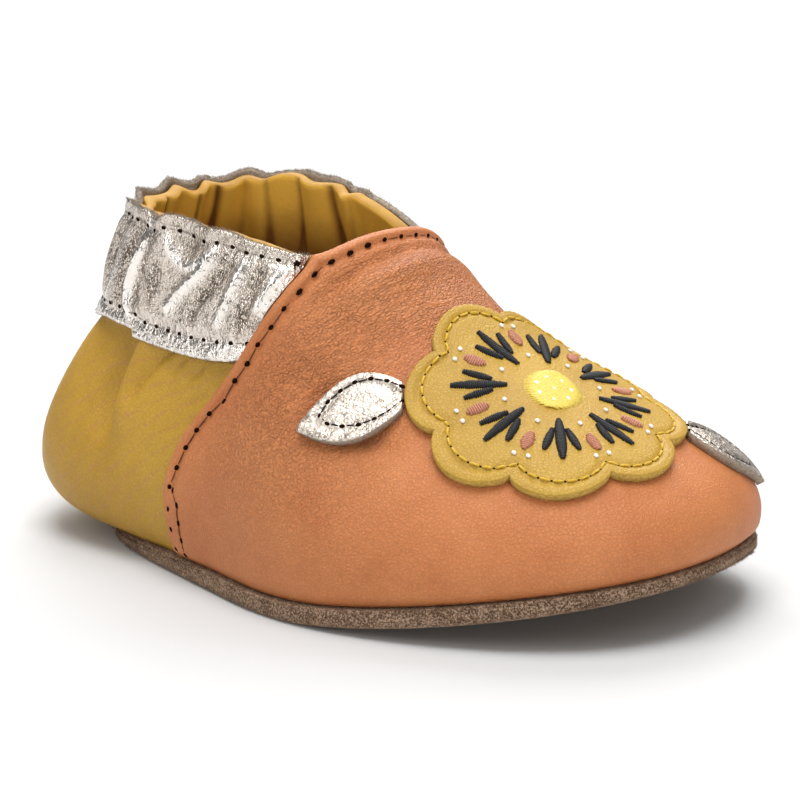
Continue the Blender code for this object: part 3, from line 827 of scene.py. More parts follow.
def tubes(centres, normals, radius, sides=6):
    """Points and faces of many short tubes, one for each row of centres, with narrow ends."""
    along = unit(np.gradient(centres, axis=1))
    across = unit(np.cross(along, normals))
    thick = np.full(centres.shape[1], radius)
    thick[[0, -1]] *= THREAD_END
    spread = around_axis(across, np.cross(across, along), sides)
    return capped_tubes(centres[:, :, None, :] + spread * thick[:, None, None])


def beads(centres, normals, along, size, rings=6, sides=10):
    """Points and faces of many flattened beads: size is (length, width, height)."""
    across = unit(np.cross(normals, along))
    along = unit(np.cross(across, normals))
    height = np.linspace(-0.5 * math.pi, 0.5 * math.pi, rings + 2)[1:-1, None]
    turn = turns(sides)
    ball = (np.cos(height) * np.cos(turn), np.cos(height) * np.sin(turn), np.sin(height) + 0.0 * turn)
    points = centres[:, None, None, :]
    for axis, share, length in zip((along, across, normals), ball, size):
        points = points + axis[:, None, None, :] * (share * length / 2.0)[..., None]
    return capped_tubes(points)


def stitch_row(path, normals, look):
    """Threads between the points of a path, each diving into the holes at its ends."""
    half = 0.5 * look["cover"]
    share = np.linspace(0.5 - half, 0.5 + half, THREAD_STEPS)
    start = path[:-1, None, :]
    span = path[1:, None, :] - start
    lean = normals[:-1, None, :] + (normals[1:, None, :] - normals[:-1, None, :]) * share[:, None]
    bow = np.sin(math.pi * np.linspace(0.0, 1.0, THREAD_STEPS)) ** 0.6
    arch = (look["rise"] + look["sink"]) * bow - look["sink"]
    return tubes(start + span * share[:, None] + lean * arch[:, None], lean, look["radius"])


def fibres(roots, directions, lengths):
    """Thin three-sided hairs, one for each root."""
    side = unit(np.cross(directions, UP + 0.3))
    foot = roots[:, None, :] + FIBRE_WIDTH * around_axis(side, np.cross(directions, side), 3)
    tip = roots + directions * lengths[:, None]
    points = np.concatenate([foot, tip[:, None, :]], axis=1)
    one = np.array([[0, 1, 3], [1, 2, 3], [2, 0, 3], [2, 1, 0]])
    faces = (np.arange(len(roots))[:, None, None] * 4 + one).reshape(-1, 3)
    return points.reshape(-1, 3), faces


# Materials

class Field:
    """A value that a node tree works out at each point, which adds up and multiplies like a number."""

    def __init__(self, tree, socket):
        self.tree = tree
        self.socket = socket

    def math(self, operation, other=0.0, clamp=False):
        """A math node on this value and another one or a number."""
        return field(self.tree, "Math", 0, {0: self, 1: other}, operation=operation, use_clamp=clamp)

    def __add__(self, other):
        return self.math("ADD", other)

    def __sub__(self, other):
        return self.math("SUBTRACT", other)

    def __mul__(self, other):
        return self.math("MULTIPLY", other)

    def __truediv__(self, other):
        return self.math("DIVIDE", other)

    def __abs__(self):
        return self.math("ABSOLUTE")


def feed(socket, value):
    """Link a field to an input, or set the input to a plain value."""
    if isinstance(value, Field):
        value.tree.links.new(value.socket, socket)
    else:
        socket.default_value = value


def field(tree, kind, output, inputs=None, **properties):
    """One output of a new node, with the node's properties set and its inputs fed."""
    node = tree.nodes.new("ShaderNode" + kind)
    for name, value in properties.items():
        setattr(node, name, value)
    for name, value in (inputs or {}).items():
        feed(node.inputs[name], value)
    return Field(tree, node.outputs[output])


def vector_math(operation, where, inputs, output=0):
    """A vector math node on a place."""
    return field(where.tree, "VectorMath", output, {0: where, **inputs}, operation=operation)


def noise(where, size, detail=2.0, rough=0.5, output="Fac"):
    """Noise with features of about size millimetres."""
    inputs = {"Vector": where, "Scale": 1.0 / (size * MM), "Detail": detail, "Roughness": rough}
    return field(where.tree, "TexNoise", output, inputs)


def lines(where, size, detail=2.0, sharp=3.0):
    """Crooked lines about size millimetres apart: 0 on a line, rising to 1 beside it."""
    away = abs(noise(where, size, detail, rough=0.55) - 0.5)
    return away.math("MULTIPLY", sharp, clamp=True)


def cells(where, size):
    """Rounded pebbles of about one size: 0 in the fine grooves between them, 1 on their tops."""
    cloud = vector_math("SUBTRACT", noise(where, 2.0 * size, output="Color"), {1: (0.5, 0.5, 0.5)})
    shift = vector_math("SCALE", cloud, {"Scale": 3.0 * size * MM})
    moved = vector_math("ADD", where, {1: shift})
    bent = field(where.tree, "Mix", 1, {0: 0.35, 4: where, 5: moved}, data_type="VECTOR")
    inputs = {"Vector": bent, "Scale": 1.0 / (size * MM)}
    edges = field(where.tree, "TexVoronoi", "Distance", inputs, feature="DISTANCE_TO_EDGE")
    return edges.math("MULTIPLY", 3.0, clamp=True).math("POWER", 0.6)


def drawn_out(where, direction, scale):
    """The same places, squeezed by scale along one direction so that what is drawn there becomes longer."""
    share = vector_math("DOT_PRODUCT", where, {1: direction}, "Value") * (1.0 - scale)
    part = field(where.tree, "VectorMath", 0, {0: direction, "Scale": share}, operation="SCALE")
    return vector_math("SUBTRACT", where, {1: part})


def ramp(factor, *stops):
    """Colours along a factor: stops are (place, colour)."""
    colours = field(factor.tree, "ValToRGB", "Color", {"Fac": factor})
    elements = colours.socket.node.color_ramp.elements
    while len(elements) < len(stops):
        elements.new(0.5)
    for element, (place, colour) in zip(elements, stops):
        element.position = place
        element.color = (*colour, 1.0)
    return colours


def grey(value):
    return (value, value, value)


def mix(factor, first, second, blend="MIX"):
    """Blend from the first colour to the second."""
    inputs = {0: factor, 6: first, 7: second}
    return field(first.tree, "Mix", 2, inputs, data_type="RGBA", blend_type=blend)


def shaded(colour, shade):
    """A colour multiplied by a shade."""
    return mix(1.0, colour, shade, "MULTIPLY")


def attribute(where, name):
    """A single value of each point, from the piece's maps."""
    return field(where.tree, "Attribute", "Fac", attribute_name=name)


def new_material(name, colour, roughness, specular=0.5, metallic=0.0):
    """A named Principled material, with its shader's inputs and the place of each point."""
    material = bpy.data.materials.new(name)
    material.use_nodes = True
    tree = material.node_tree
    inputs = tree.nodes["Principled BSDF"].inputs
    feed(inputs["Base Color"], (*colour, 1.0))
    feed(inputs["Roughness"], roughness)
    feed(inputs["Metallic"], metallic)
    feed(inputs["Specular IOR Level"], specular)
    return material, inputs, field(tree, "TexCoord", "Object")


def bump(inputs, layers):
    """Stack heights as bump on a shader: layers are (height, depth in millimetres)."""
    below = {}
    for height, depth in layers:
        settings = {"Height": height, "Distance": depth * MM, "Strength": 1.0, **below}
        below = {"Normal": field(height.tree, "Bump", "Normal", settings)}
    feed(inputs["Normal"], below["Normal"])


def leather(name, light, deep, roughness=0.5):
    """Fine-grained leather: soft mottling, small pebbles with painted shade in the grooves between them, and
    pores.
    """
    material, inputs, where = new_material(name, light, roughness, specular=0.35)
    mottled = ramp(noise(where, 14.0, detail=4.0, rough=0.6), (0.3, deep), (0.62, light))
    pebbles = cells(where, 0.6)
    pores = noise(where, 0.42, rough=0.6)
    # painted shade: the grooves between the pebbles are darkened
    colour = shaded(mottled, ramp(pebbles, (0.2, grey(0.86)), (0.8, grey(1.0))))
    feed(inputs["Base Color"], colour)
    layers = [(noise(where, 5.0, detail=3.0), 0.15), (pebbles, 0.05), (pores, 0.08)]
    return material, inputs, where, colour, layers


def tan_leather():
    """Tan nappa of the vamp: cross wrinkles where its wrinkle attribute asks, with painted shade and light on
    them.
    """
    material, inputs, where, colour, layers = leather("tan_nappa", TAN, TAN_DEEP)
    amount = attribute(where, "wrinkle")
    wide = lines(drawn_out(where, WRINKLE_ALONG, 0.15), 0.85, detail=0.6)
    fine = cells(drawn_out(where, WRINKLE_ALONG, 0.5), 0.45)
    height = (wide - 0.4) * (amount * 0.55) + (fine - 0.6) * (amount * 0.28 + 0.07) + 0.5
    # painted shade in the wrinkles' lows, painted light on their highs
    shade = ramp(height, (0.2, grey(0.78)), (0.5, grey(1.0)), (0.7, grey(1.08)))
    feed(inputs["Base Color"], shaded(colour, shade))
    layers.insert(1, (height, 0.43))
    bump(inputs, layers)
    return material


def dotted_stripes(tree):
    """Mask of small uneven dots along slanting lines, on the UV map."""
    flat = field(tree, "UVMap", "UV", uv_map="flat")
    turned = field(tree, "Mapping", "Vector", {"Vector": flat, "Rotation": (0.0, 0.0, STRIPE_TURN)})
    shift = noise(flat, 2.5, detail=1.0) * STRIPE_WANDER
    squares = []
    for axis, pitch in (("X", STRIPE_DOTS), ("Y", STRIPE_GAP)):
        place = field(tree, "SeparateXYZ", axis, {"Vector": turned}) / (pitch * MM) + shift
        away = (place.math("FRACT") - 0.5) * pitch
        squares.append(away * away)
    return (squares[0] + squares[1]).math("LESS_THAN", STRIPE_DOT_RADIUS ** 2)


def mustard_leather():
    """Mustard leather of the quarter, with faint dotted stripes."""
    material, inputs, where, colour, layers = leather("mustard_printed", MUSTARD, MUSTARD_DEEP)
    worn = noise(where, 5.0, detail=4.0, rough=0.7)
    strength = dotted_stripes(where.tree) * (worn * 0.9)
    feed(inputs["Base Color"], mix(strength, colour, (*MUSTARD_PRINT, 1.0)))
    bump(inputs, layers)
    return material


def patch_leather():
    """Plain mustard leather of the flower patch."""
    material, inputs, _, _, layers = leather("mustard_plain", PATCH, PATCH_DEEP)
    bump(inputs, layers)
    return material


def lining_leather():
    """Soft mustard lining, darkened to brown as painted shade where its crease attribute asks."""
    material, inputs, where, _, layers = leather("mustard_lining", LINING, LINING_SHADED, 0.62)
    tone = attribute(where, "crease") + noise(where, 5.0, detail=4.0, rough=0.6) * 0.4
    feed(inputs["Base Color"], ramp(tone, (0.25, LINING), (1.0, LINING_SHADED)))
    bump(inputs, [(height, 0.4 * depth) for height, depth in layers])
    return material


def foil_leather(name, crinkled, gloss):
    """Champagne foil on leather: crumpled metal, with cracks and painted shade where crackle is high, a
    painted highlight where low.
    """
    material, inputs, where = new_material(name, FOIL, gloss, metallic=0.95)
    upright = drawn_out(where, tuple(UP), 0.6)
    amount = attribute(where, "crackle")
    fine = noise(upright, 0.5, detail=3.0, rough=0.6)
    spread = noise(where, 2.2, detail=3.0) * 0.16
    near = amount * 0.075 + spread - 0.08 - abs(fine - 0.5)
    cracks_and_shade = near.math("MULTIPLY", 16.0, clamp=True)
    # painted highlight: brighter foil where the crackle value is low, on the high folds
    whole = ramp(amount, (0.0, FOIL_RIDGE_HIGHLIGHT), (0.6, FOIL))
    # cracks, and painted shade where they gather in the fold lows
    worn = ramp(cracks_and_shade, (0.0, grey(1.0)), (0.5, FOIL_MIDDLE), (1.0, FOIL_DARK))
    feed(inputs["Base Color"], shaded(whole, worn))
    feed(inputs["Roughness"], ramp(cracks_and_shade, (0.0, grey(gloss)), (1.0, grey(gloss + 0.15))))
    folds = lines(upright, 2.2)
    crinkles = (fine + lines(where, 0.9) * 0.6) * (amount * 0.85 + 0.15)
    bump(inputs, [(folds, 0.26 * crinkled), (crinkles, 0.38 * crinkled)])
    return material


def suede():
    """Napped taupe suede: matt, with a brushed mottle, pale flecks and a soft sheen."""
    material, inputs, where = new_material("taupe_suede", SUEDE, 0.95, specular=0.1)
    brushed = noise(where, 2.4, detail=5.0, rough=0.75)
    speckle = noise(where, 0.32, detail=3.0, rough=0.8)
    tone = brushed * 0.25 + speckle * 0.75
    feed(inputs["Base Color"], ramp(tone, (0.42, SUEDE_DEEP), (0.50, SUEDE), (0.57, NAP)))
    feed(inputs["Sheen Weight"], 0.8)
    feed(inputs["Sheen Roughness"], 0.45)
    feed(inputs["Sheen Tint"], (*NAP, 1.0))
    bump(inputs, [(brushed, 0.3), (speckle, 0.3)])
    return material


def streaked(inputs, colour, pattern, darkest, depth):
    """Colour a shader by a fine pattern, darker in its lows, and bump it."""
    deep = tuple(darkest * value for value in colour)
    feed(inputs["Base Color"], ramp(pattern, (0.3, deep), (0.6, colour)))
    bump(inputs, [(pattern, depth)])


def raw_edge(name, colour):
    """Cut edge of leather: matt, fibrous and a little uneven in tone."""
    material, inputs, where = new_material(name, colour, 0.9, specular=0.2)
    streaked(inputs, colour, noise(where, 0.5, detail=4.0, rough=0.7), 0.5, 0.2)
    return material


def thread(name, colour, roughness, sheen, specular):
    """Twisted sewing thread, with more sheen on the pale ones."""
    material, inputs, where = new_material(name, colour, roughness, specular)
    streaked(inputs, colour, noise(where, 0.18), 0.6, 0.05)
    feed(inputs["Sheen Weight"], sheen)
    return material


def plain_floor():
    """Plain pale floor, hardly uneven in tone."""
    material, inputs, where = new_material("pale_floor", grey(0.6), 0.8, specular=0.1)
    feed(inputs["Base Color"], ramp(noise(where, 300.0), (0.3, grey(0.59)), (0.7, grey(0.61))))
    return material


# Upper and lining

def back_sections(steps):
    """Sections u around the back, evenly spaced along the gathered rim."""
    sections, share = gathered_share()
    return np.interp(np.linspace(0.0, 1.0, steps + 1), share, sections)


def lining_folds(u, v):
    """Upright pleats on the inside of the gathered wall, and how much painted shade each point of the lining
    gets.
    """
    share, inside = wall_turns(u)
    draw = np.random.default_rng(PLEAT_SEED)
    places = (np.arange(PLEATS) + 0.5 + draw.uniform(-PLEAT_STRAY, PLEAT_STRAY, PLEATS)) / PLEATS
    widths = draw.uniform(*PLEAT_WIDTH, PLEATS)
    depths = draw.uniform(*PLEAT_DEPTH, PLEATS)
    leans = draw.uniform(-PLEAT_LEAN, PLEAT_LEAN, PLEATS)
    shifts = draw.uniform(0.0, FULL_TURN, PLEATS)
    length = walked(on_ring("rim", gathered_share()[0]))[-1]
    relief = LINING_PUFF * inside
    crease = 0.0 * share
    for place, width, depth, lean, shift in zip(places, widths, depths, leans, shifts):
        wobble = PLEAT_WOBBLE * np.sin(PLEAT_WOBBLE_TURN * v + shift)
        away = (share - place - lean * (v - PLEAT_MIDDLE_V) - wobble) * length / width
        relief = relief - depth * inside * np.exp(-np.abs(away) ** PLEAT_SHARPNESS)
        crease = crease + depth * inside * np.exp(-(2.0 * away) ** 2)
    grown = smooth_step(v, *PLEAT_FADE_V)
    below = 1.0 - smooth_step(v, *INSIDE_FADE_V)
    # painted shade: darker in the pleats' creases and lower down inside
    return relief * grown, PLEAT_SHADE * crease * grown + INSIDE_SHADE * below


def build_upper(outside, inside):
    """Hollow shell of the upper: mustard leather outside, pleated lining inside, rolled at the rim."""
    front = np.linspace(GATHERED_TO - ROUND, GATHERED_FROM, FRONT_STEPS + 1)
    around = np.concatenate([front, back_sections(BACK_STEPS)[1:-1]])
    u, v = np.meshgrid(around, two_paces(CUFF_LINE, WALL_STEPS + 1, RIM_STEPS), indexing="ij")
    creased = creases("quarter", last_surface(u, v))
    outer = layer(u, v, creased)
    relief, crease = lining_folds(u, v)
    inner = layer(u, v, np.minimum(creased, 0.0) - WALL - LINING_PLY - relief)[:, ::-1]
    turn = np.linspace(0.0, math.pi, 7)[1:-1][None, :, None]
    middle = (outer[:, -1:] + inner[:, :1]) / 2.0
    half = (outer[:, -1:] - inner[:, :1]) / 2.0
    roll = middle + half * np.cos(turn) + UP * ROLL_HEIGHT * np.sin(turn)
    points = np.concatenate([outer, roll, inner], axis=1)
    rows, columns = points.shape[:2]
    faces = grid_faces(rows, columns, closed_rows=True, closed_columns=True)
    slots = (np.arange(len(faces)) % columns >= outer.shape[1] - 1).astype(int)
    # painted shade of the lining, with a fixed share on the rolled rim, carried in the crease attribute
    shades = [np.zeros(outer.shape[:2]), np.full(roll.shape[:2], ROLL_SHADE), crease[:, ::-1]]
    maps = {"flat": flat_map(points), "crease": np.concatenate(shades, axis=1)}
    return make_piece("upper_shell", points, faces, [outside, inside], slots, maps)


def flat_map(points):
    """A UV map in metres: around the shoe, and up its wall."""
    sides = []
    for axis in (0, 1):
        steps = np.linalg.norm(np.diff(points, axis=axis), axis=-1).mean(axis=1 - axis)
        sides.append(np.concatenate([[0.0], np.cumsum(steps)]))
    return np.stack(np.meshgrid(*sides, indexing="ij"), axis=-1).reshape(-1, 2) * MM


# Vamp

def vamp_border():
    """Places (u, v) along the vamp's free edge: up the outer side, over the throat, down the inner side."""
    v = np.linspace(0.0, 1.0, 161)
    outer = vamp_edge(v)
    throat = np.linspace(outer[-1], -outer[-1], 121)[1:-1]
    u = np.concatenate([outer, throat, -outer[::-1]])
    return u, np.concatenate([v, np.ones(len(throat)), v[::-1]])


def inset_line(inset, u, v):
    """A line drawn inset millimetres inside an edge of places (u, v), on the vamp's outer side."""
    centre = last_surface(np.array(0.0), np.array(VAMP_MIDDLE_V))
    edge = layer(u, v, LAYER_GAP + VAMP_LEATHER)
    inward = unit(np.cross(last_normal(u, v), np.gradient(edge, axis=0)))
    inward *= np.sign(np.sum(inward * (centre - edge), axis=-1, keepdims=True))
    return edge + inward * np.asarray(inset)[..., None]


def vamp_stitch_line():
    """Line of the vamp's topstitching, which narrows towards the edge beside the two bar tacks."""
    u, v = vamp_border()
    inset = BAR_INSET + (STITCH_INSET - BAR_INSET) * smooth_step(v, BAR_TOP - 0.02, BAR_TOP + 0.05)
    return soften(evenly(inset_line(inset, u, v)[3:-3], 0.4), 5)


def bar_lines():
    """Second, short stitch rows beside the topstitching, from their turn at the top down to the sole."""
    v = np.linspace(BAR_TOP, 0.02, 40)
    inset = STITCH_INSET + (BAR_INSET + BAR_WIDTH - STITCH_INSET) * smooth_step(BAR_TOP - v, 0.0, 0.03)
    return [inset_line(inset, side * vamp_edge(v), v) for side in (1.0, -1.0)]


def wrinkles(points):
    """How strongly fine cross wrinkles show at each point of the vamp."""
    amount = np.zeros(points.shape[:-1])
    for row in WRINKLED:
        spot = dict(zip(WRINKLE_COLUMNS, row))
        centre = layer(spot["u"], spot["v"], LAYER_GAP + VAMP_LEATHER)
        away = np.linalg.norm(points - centre, axis=-1) / spot["reach"]
        amount += spot["strength"] * np.exp(-away ** 2)
    return np.clip(amount, 0.0, 1.0)


def build_vamp(material, edge_material):
    """Tan overlay with rounded cut edges, a pulled-in stitch row, soft creases and cross wrinkles."""
    share = two_paces(VAMP_EDGE_FROM, VAMP_STEPS, VAMP_EDGE_STEPS)
    share = np.concatenate([-share[:0:-1], share])[:, None]
    heights = two_paces(THROAT_FROM, VAMP_STEPS + 10, VAMP_EDGE_STEPS)
    u = share * vamp_edge(heights)
    v = heights + 0.0 * share
    flat_points = layer(u, v, LAYER_GAP + VAMP_LEATHER)
    free_edge = layer(*vamp_border(), LAYER_GAP + VAMP_LEATHER)
    distance = distance_to_line(flat_points, evenly(free_edge, 0.3))
    relief = creases("vamp", last_surface(u, v)) * smooth_step(distance, *CREASES_FROM_EDGE)
    relief += groove(distance, STITCH_INSET) * smooth_step(v, *GROOVE_FADE_V) - edge_drop(distance)
    relief -= VAMP_TUCK * (1.0 - smooth_step(v, 0.0, VAMP_TUCK_V)) ** 2
    relief += dimples(flat_points, evenly(vamp_stitch_line(), VAMP_PITCH))
    outer = layer(u, v, LAYER_GAP + VAMP_LEATHER + relief)
    points, faces, slots = sheet_parts(outer, layer(u, v, LAYER_GAP))
    wrinkle = wrinkles(flat_points) * smooth_step(distance, *WRINKLES_FROM_EDGE)
    maps = {"wrinkle": np.tile(wrinkle.ravel(), 2)}
    vamp = make_piece("vamp_leather", points, faces, [material, edge_material], slots, maps)
    return vamp, search_tree(outer)


# Cuff

def pleats(turn):
    """Round ridges with sharp creases between them, from 1 on a ridge to -1 in a crease."""
    return 2.0 * np.abs(np.sin(math.pi * turn)) ** 0.75 - 1.0


def cuff_relief(u, v):
    """Folds of the gathered foil, pinched at its stitch rows, and the crackle of their lows, partly painted
    shade.

    On the outer side they are listed one by one, and behind they are pleats.
    """
    share, inside = wall_turns(u)
    across = (v - CUFF_LINE) / (1.0 - CUFF_LINE)
    belly = np.sin(math.pi * np.clip((across - CUFF_ROW_LOW) / (CUFF_ROW_HIGH - CUFF_ROW_LOW), 0.0, 1.0))
    lean = across - 0.5
    drift = COARSE_DRIFT * np.sin(2.0 * FULL_TURN * share + COARSE_DRIFT_SHIFT)
    coarse = pleats(COARSE_PLEATS * share + drift + COARSE_BEND * lean * np.sin(COARSE_BEND_TURN * share))
    slant = pleats(SLANT_PLEATS * share + SLANT_BEND * lean * np.cos(SLANT_BEND_TURN * share) + SLANT_SHIFT)
    calm = 1.0 - 0.8 * smooth_step(across, CUFF_ROW_HIGH - 0.05, 1.0)
    behind = inside * calm * smooth_step(u, HAND_FOLDS_END, HAND_FOLDS_END + 0.5)
    folds = behind * (COARSE_HEIGHT * coarse + SLANT_HEIGHT * slant - PLEAT_SINK) * (0.35 + 0.65 * belly)
    folds += creases("cuff", last_surface(u, v)) * (0.45 + 0.55 * belly)
    rows = sum(np.exp(-((across - row) / CUFF_ROW_WIDTH) ** 2) for row in (CUFF_ROW_LOW, CUFF_ROW_HIGH))
    relief = np.clip(CUFF_BELLY * belly + folds - CUFF_PINCH * rows, -LOWEST_FOLD, HIGHEST_FOLD)
    above_hem = smooth_step(across, CUFF_ROW_LOW - 0.06, CUFF_ROW_LOW + 0.10)
    # crackle grows in the fold lows: partly cracked foil, partly painted shade
    crackle = smooth_step(SMOOTH_ABOVE - folds, 0.0, CRACKLE_SPAN)
    return relief, crackle * (HEM_CRACKLE + (1.0 - HEM_CRACKLE) * above_hem)


def hem_rise(u, v):
    """How far the cuff's lower edge is drawn up, in v, behind the deep crease of the quarter."""
    behind = smooth_step(u, HEM_STEP_U, HEM_STEP_U + 0.04)
    behind *= 1.0 - smooth_step(u, HEM_STEP_U + 0.4, HEM_STEP_U + 1.1)
    return HEM_RISE * behind * (1.0 - smooth_step(v, CUFF_LINE, CUFF_LINE + 0.1))


def rim_lift(u, v):
    """Uneven rise of the cuff's raw rim over the lining."""
    share, inside = wall_turns(u)
    uneven = sum(height * np.sin(waves * FULL_TURN * share + shift) for height, waves, shift in RIM_UNEVEN)
    return (RIM_OVER + uneven) * inside * smooth_step(v, 0.9, 1.0)


def round_rim(points, u, v):
    """The cuff's grid with the sharp corners of its gathers rounded off towards the rim."""
    calm = (smooth_step(v, 0.88, 1.0) * wall_turns(u)[1])[..., None]
    flowing = np.stack([soften(points[:, row], RIM_WINDOW) for row in range(points.shape[1])], axis=1)
    return points + (flowing - points) * calm


def cuff_end_drop(u, v):
    """How far the cuff thins towards its two ends, which lie under the vamp's edge."""
    end = vamp_edge(v) + EDGE_CLEARANCE
    return CUFF_END_THINNING * (1.0 - smooth_step(np.minimum(u - end, ROUND - end - u), 0.0, CUFF_END_REACH))


def build_cuff(material, edge_material):
    """Gathered foil collar with raw edges, from the cuff line to the rim and between the vamp's edges."""
    heights = np.linspace(CUFF_LINE, 1.0, CUFF_STEPS + 1)
    end = vamp_edge(heights) + EDGE_CLEARANCE
    share = np.linspace(0.0, 1.0, CUFF_SIDE_STEPS + 1)[:-1, None]
    lateral = end + (GATHERED_FROM - end) * share
    back = back_sections(CUFF_BACK_STEPS)[:, None] + 0.0 * heights
    u = np.concatenate([lateral, back, ROUND - lateral[::-1]])
    v = heights + 0.0 * u
    v = v + hem_rise(u, v)
    relief, crackle = cuff_relief(u, v)
    lift = UP * rim_lift(u, v)[..., None]
    outer = lift + layer(u, v, LAYER_GAP + CUFF_LEATHER + relief - cuff_end_drop(u, v))
    inner = lift + layer(u, v, LAYER_GAP + 0.5 * np.minimum(relief, 0.0))
    outer = round_rim(outer, u, v)
    inner = round_rim(inner, u, v)
    points, faces, slots = sheet_parts(outer, inner)
    maps = {"crackle": np.tile(crackle.ravel(), 2)}
    cuff = make_piece("cuff_foil", points, faces, [material, edge_material], slots, maps)
    return cuff, outer, inner


def build_fuzz(outer, inner, material):
    """Short fibres on the cuff's raw upper and lower edges."""
    draw = np.random.default_rng(FUZZ_SEED)
    parts = []
    for place, count, longest, rise in FUZZ:
        along = draw.integers(0, outer.shape[0], count)
        share = draw.uniform(-0.1, 1.05, count)[:, None]
        across = inner[along, place] - outer[along, place]
        directions = unit(UP * rise - unit(across) * 0.5 + draw.normal(0.0, 0.55, (count, 3)))
        lengths = draw.uniform(FUZZ_SHORTEST, longest, count)
        parts.append(fibres(outer[along, place] + across * share, directions, lengths))
    return make_piece("cuff_fuzz", *joined(parts), [material])


# Sole

def build_sole(material):
    """Suede sole with a soft rounded edge, turned up into a low tray that holds the insole."""
    rim_inside = -WALL - SOLE_RIM_CLEARANCE
    well = rim_inside - SOLE_WELL_SLOPE
    rings = [sole_ring(well, 0.0, share) for share in (0.3, 0.55, 0.8)]
    rings.append(sole_ring(-2.5 * SOLE_ROUND, 0.0, lip=1.0))
    for turn in np.linspace(0.0, 0.5 * math.pi, 6)[1:]:
        inset = SOLE_ROUND * (1.0 - math.sin(turn))
        rings.append(sole_ring(-inset, SOLE_ROUND * (1.0 - math.cos(turn)), lip=1.0))
    for up in np.linspace(0.0, 1.0, 5)[1:-1]:
        height = SOLE_ROUND * (1.0 - up) - (GAP + SOLE_TOP_ROUND) * up
        rings.append(sole_ring(SOLE_SIDE_BULGE * math.sin(math.pi * up), height, up=up, lip=1.0))
    for turn in np.linspace(0.0, 0.5 * math.pi, 6):
        inset = SOLE_TOP_ROUND * (1.0 - math.cos(turn))
        rings.append(sole_ring(-inset, -GAP - SOLE_TOP_ROUND * (1.0 - math.sin(turn)), up=1.0, lip=1.0))
    rings += [sole_ring(inset, -GAP, up=1.0) for inset in (-SOLE_RIM_CLEARANCE, rim_inside)]
    rings += [sole_ring(well, SOLE_PLY, share) for share in (1.0, 0.65, 0.3)]
    return make_piece("sole_suede", *ring_parts(rings), [material])


def build_insole(material):
    """Lining sole in the outsole's tray."""
    edge = -WALL - SOLE_RIM_CLEARANCE - SOLE_WELL_SLOPE - GAP
    bottom = SOLE_PLY + GAP
    top = bottom + INSOLE_PLY
    rings = [sole_ring(edge, bottom, 0.3), sole_ring(edge, bottom)]
    for inset, drop in ((0.0, 1.0), (0.3, 0.3), (1.0, 0.0)):
        rings.append(sole_ring(edge - inset * INSOLE_ROUND, top - drop * INSOLE_ROUND))
    rings += [sole_ring(edge, top, share) for share in (0.8, 0.55, 0.3)]
    points, faces = ring_parts(rings)
    return make_piece("insole_lining", points, faces, [material], maps={"crease": np.zeros(len(points))})


def build_nap(material):
    """Short fibres that stand off the sole's edge band."""
    draw = np.random.default_rng(NAP_SEED)
    u = draw.uniform(0.0, ROUND, NAP_FIBRES)
    seam = on_ring("base", u)
    away = outward(u)
    roots = seam + away * (closed_spline(TABLE["lip"], u) - NAP_ROOT)[:, None]
    low = underside(seam[:, 0], seam[:, 1]) + 0.5 * SOLE_ROUND
    high = seam[:, 2] - GAP - 0.3 * SOLE_TOP_ROUND
    roots[:, 2] = low + draw.uniform(0.0, 1.0, NAP_FIBRES) ** 0.8 * (high - low)
    directions = unit(away + draw.normal(0.0, 0.6, (NAP_FIBRES, 3)) + UP * 0.2)
    lengths = draw.uniform(*NAP_LENGTH, NAP_FIBRES)
    return make_piece("sole_nap", *fibres(roots, directions, lengths), [material])


# Patches on the vamp

def vamp_tree(offset):
    """Search tree of the surface that lies offset millimetres outside the vamp."""
    share = np.linspace(-1.0, 1.0, 241)[:, None]
    heights = np.linspace(0.0, 1.0, 101)[None, :]
    return search_tree(layer(share * vamp_edge(heights), heights, LAYER_GAP + VAMP_LEATHER + offset))


def drop_on(flat, tree):
    """Drop flat points (towards the toe, towards the inner side) from above the flower onto a surface."""
    normal = last_normal(np.array(FLOWER_U), np.array(FLOWER_V))
    forward = unit(np.array([1.0, 0.0, 0.0]) - normal * normal[0])
    above = layer(FLOWER_U, FLOWER_V, 0.0) + normal * RAY_HEIGHT
    starts = above + flat[..., :1] * forward + flat[..., 1:] * np.cross(normal, forward)
    found = [tree.ray_cast(Vector(start), Vector(-normal)) for start in starts.reshape(-1, 3)]
    places, normals = hits(found, starts.shape)
    return places, normals * np.sign(np.sum(normals * normal, axis=-1, keepdims=True))


def on_circle(radius, angle):
    """Flat points at a radius and an angle."""
    return np.stack([radius * np.cos(angle), radius * np.sin(angle)], axis=-1)


def lay_patch(flat, outline, inset, swell):
    """Top and bottom of a patch on the vamp: crisp at its outline, and pulled in along its stitch row."""
    distance = np.linalg.norm(flat[:, :, None, :] - outline, axis=-1).min(axis=2)
    relief = groove(distance, inset, PATCH_GROOVE, PATCH_PUFF) - edge_drop(distance, PATCH_EDGE_ROUND)
    seat, normals = drop_on(flat, vamp_tree(0.0))
    bottom = seat + normals * PATCH_GAP
    return bottom + normals * (PATCH_LEATHER + swell + relief)[..., None], bottom


def petal_radius(angle):
    """Scalloped edge of the flower patch."""
    scallop = np.abs(np.cos(0.5 * FLOWER_PETALS * angle)) ** 0.7
    return FLOWER_RADIUS * (1.0 - FLOWER_NOTCH * (1.0 - scallop))


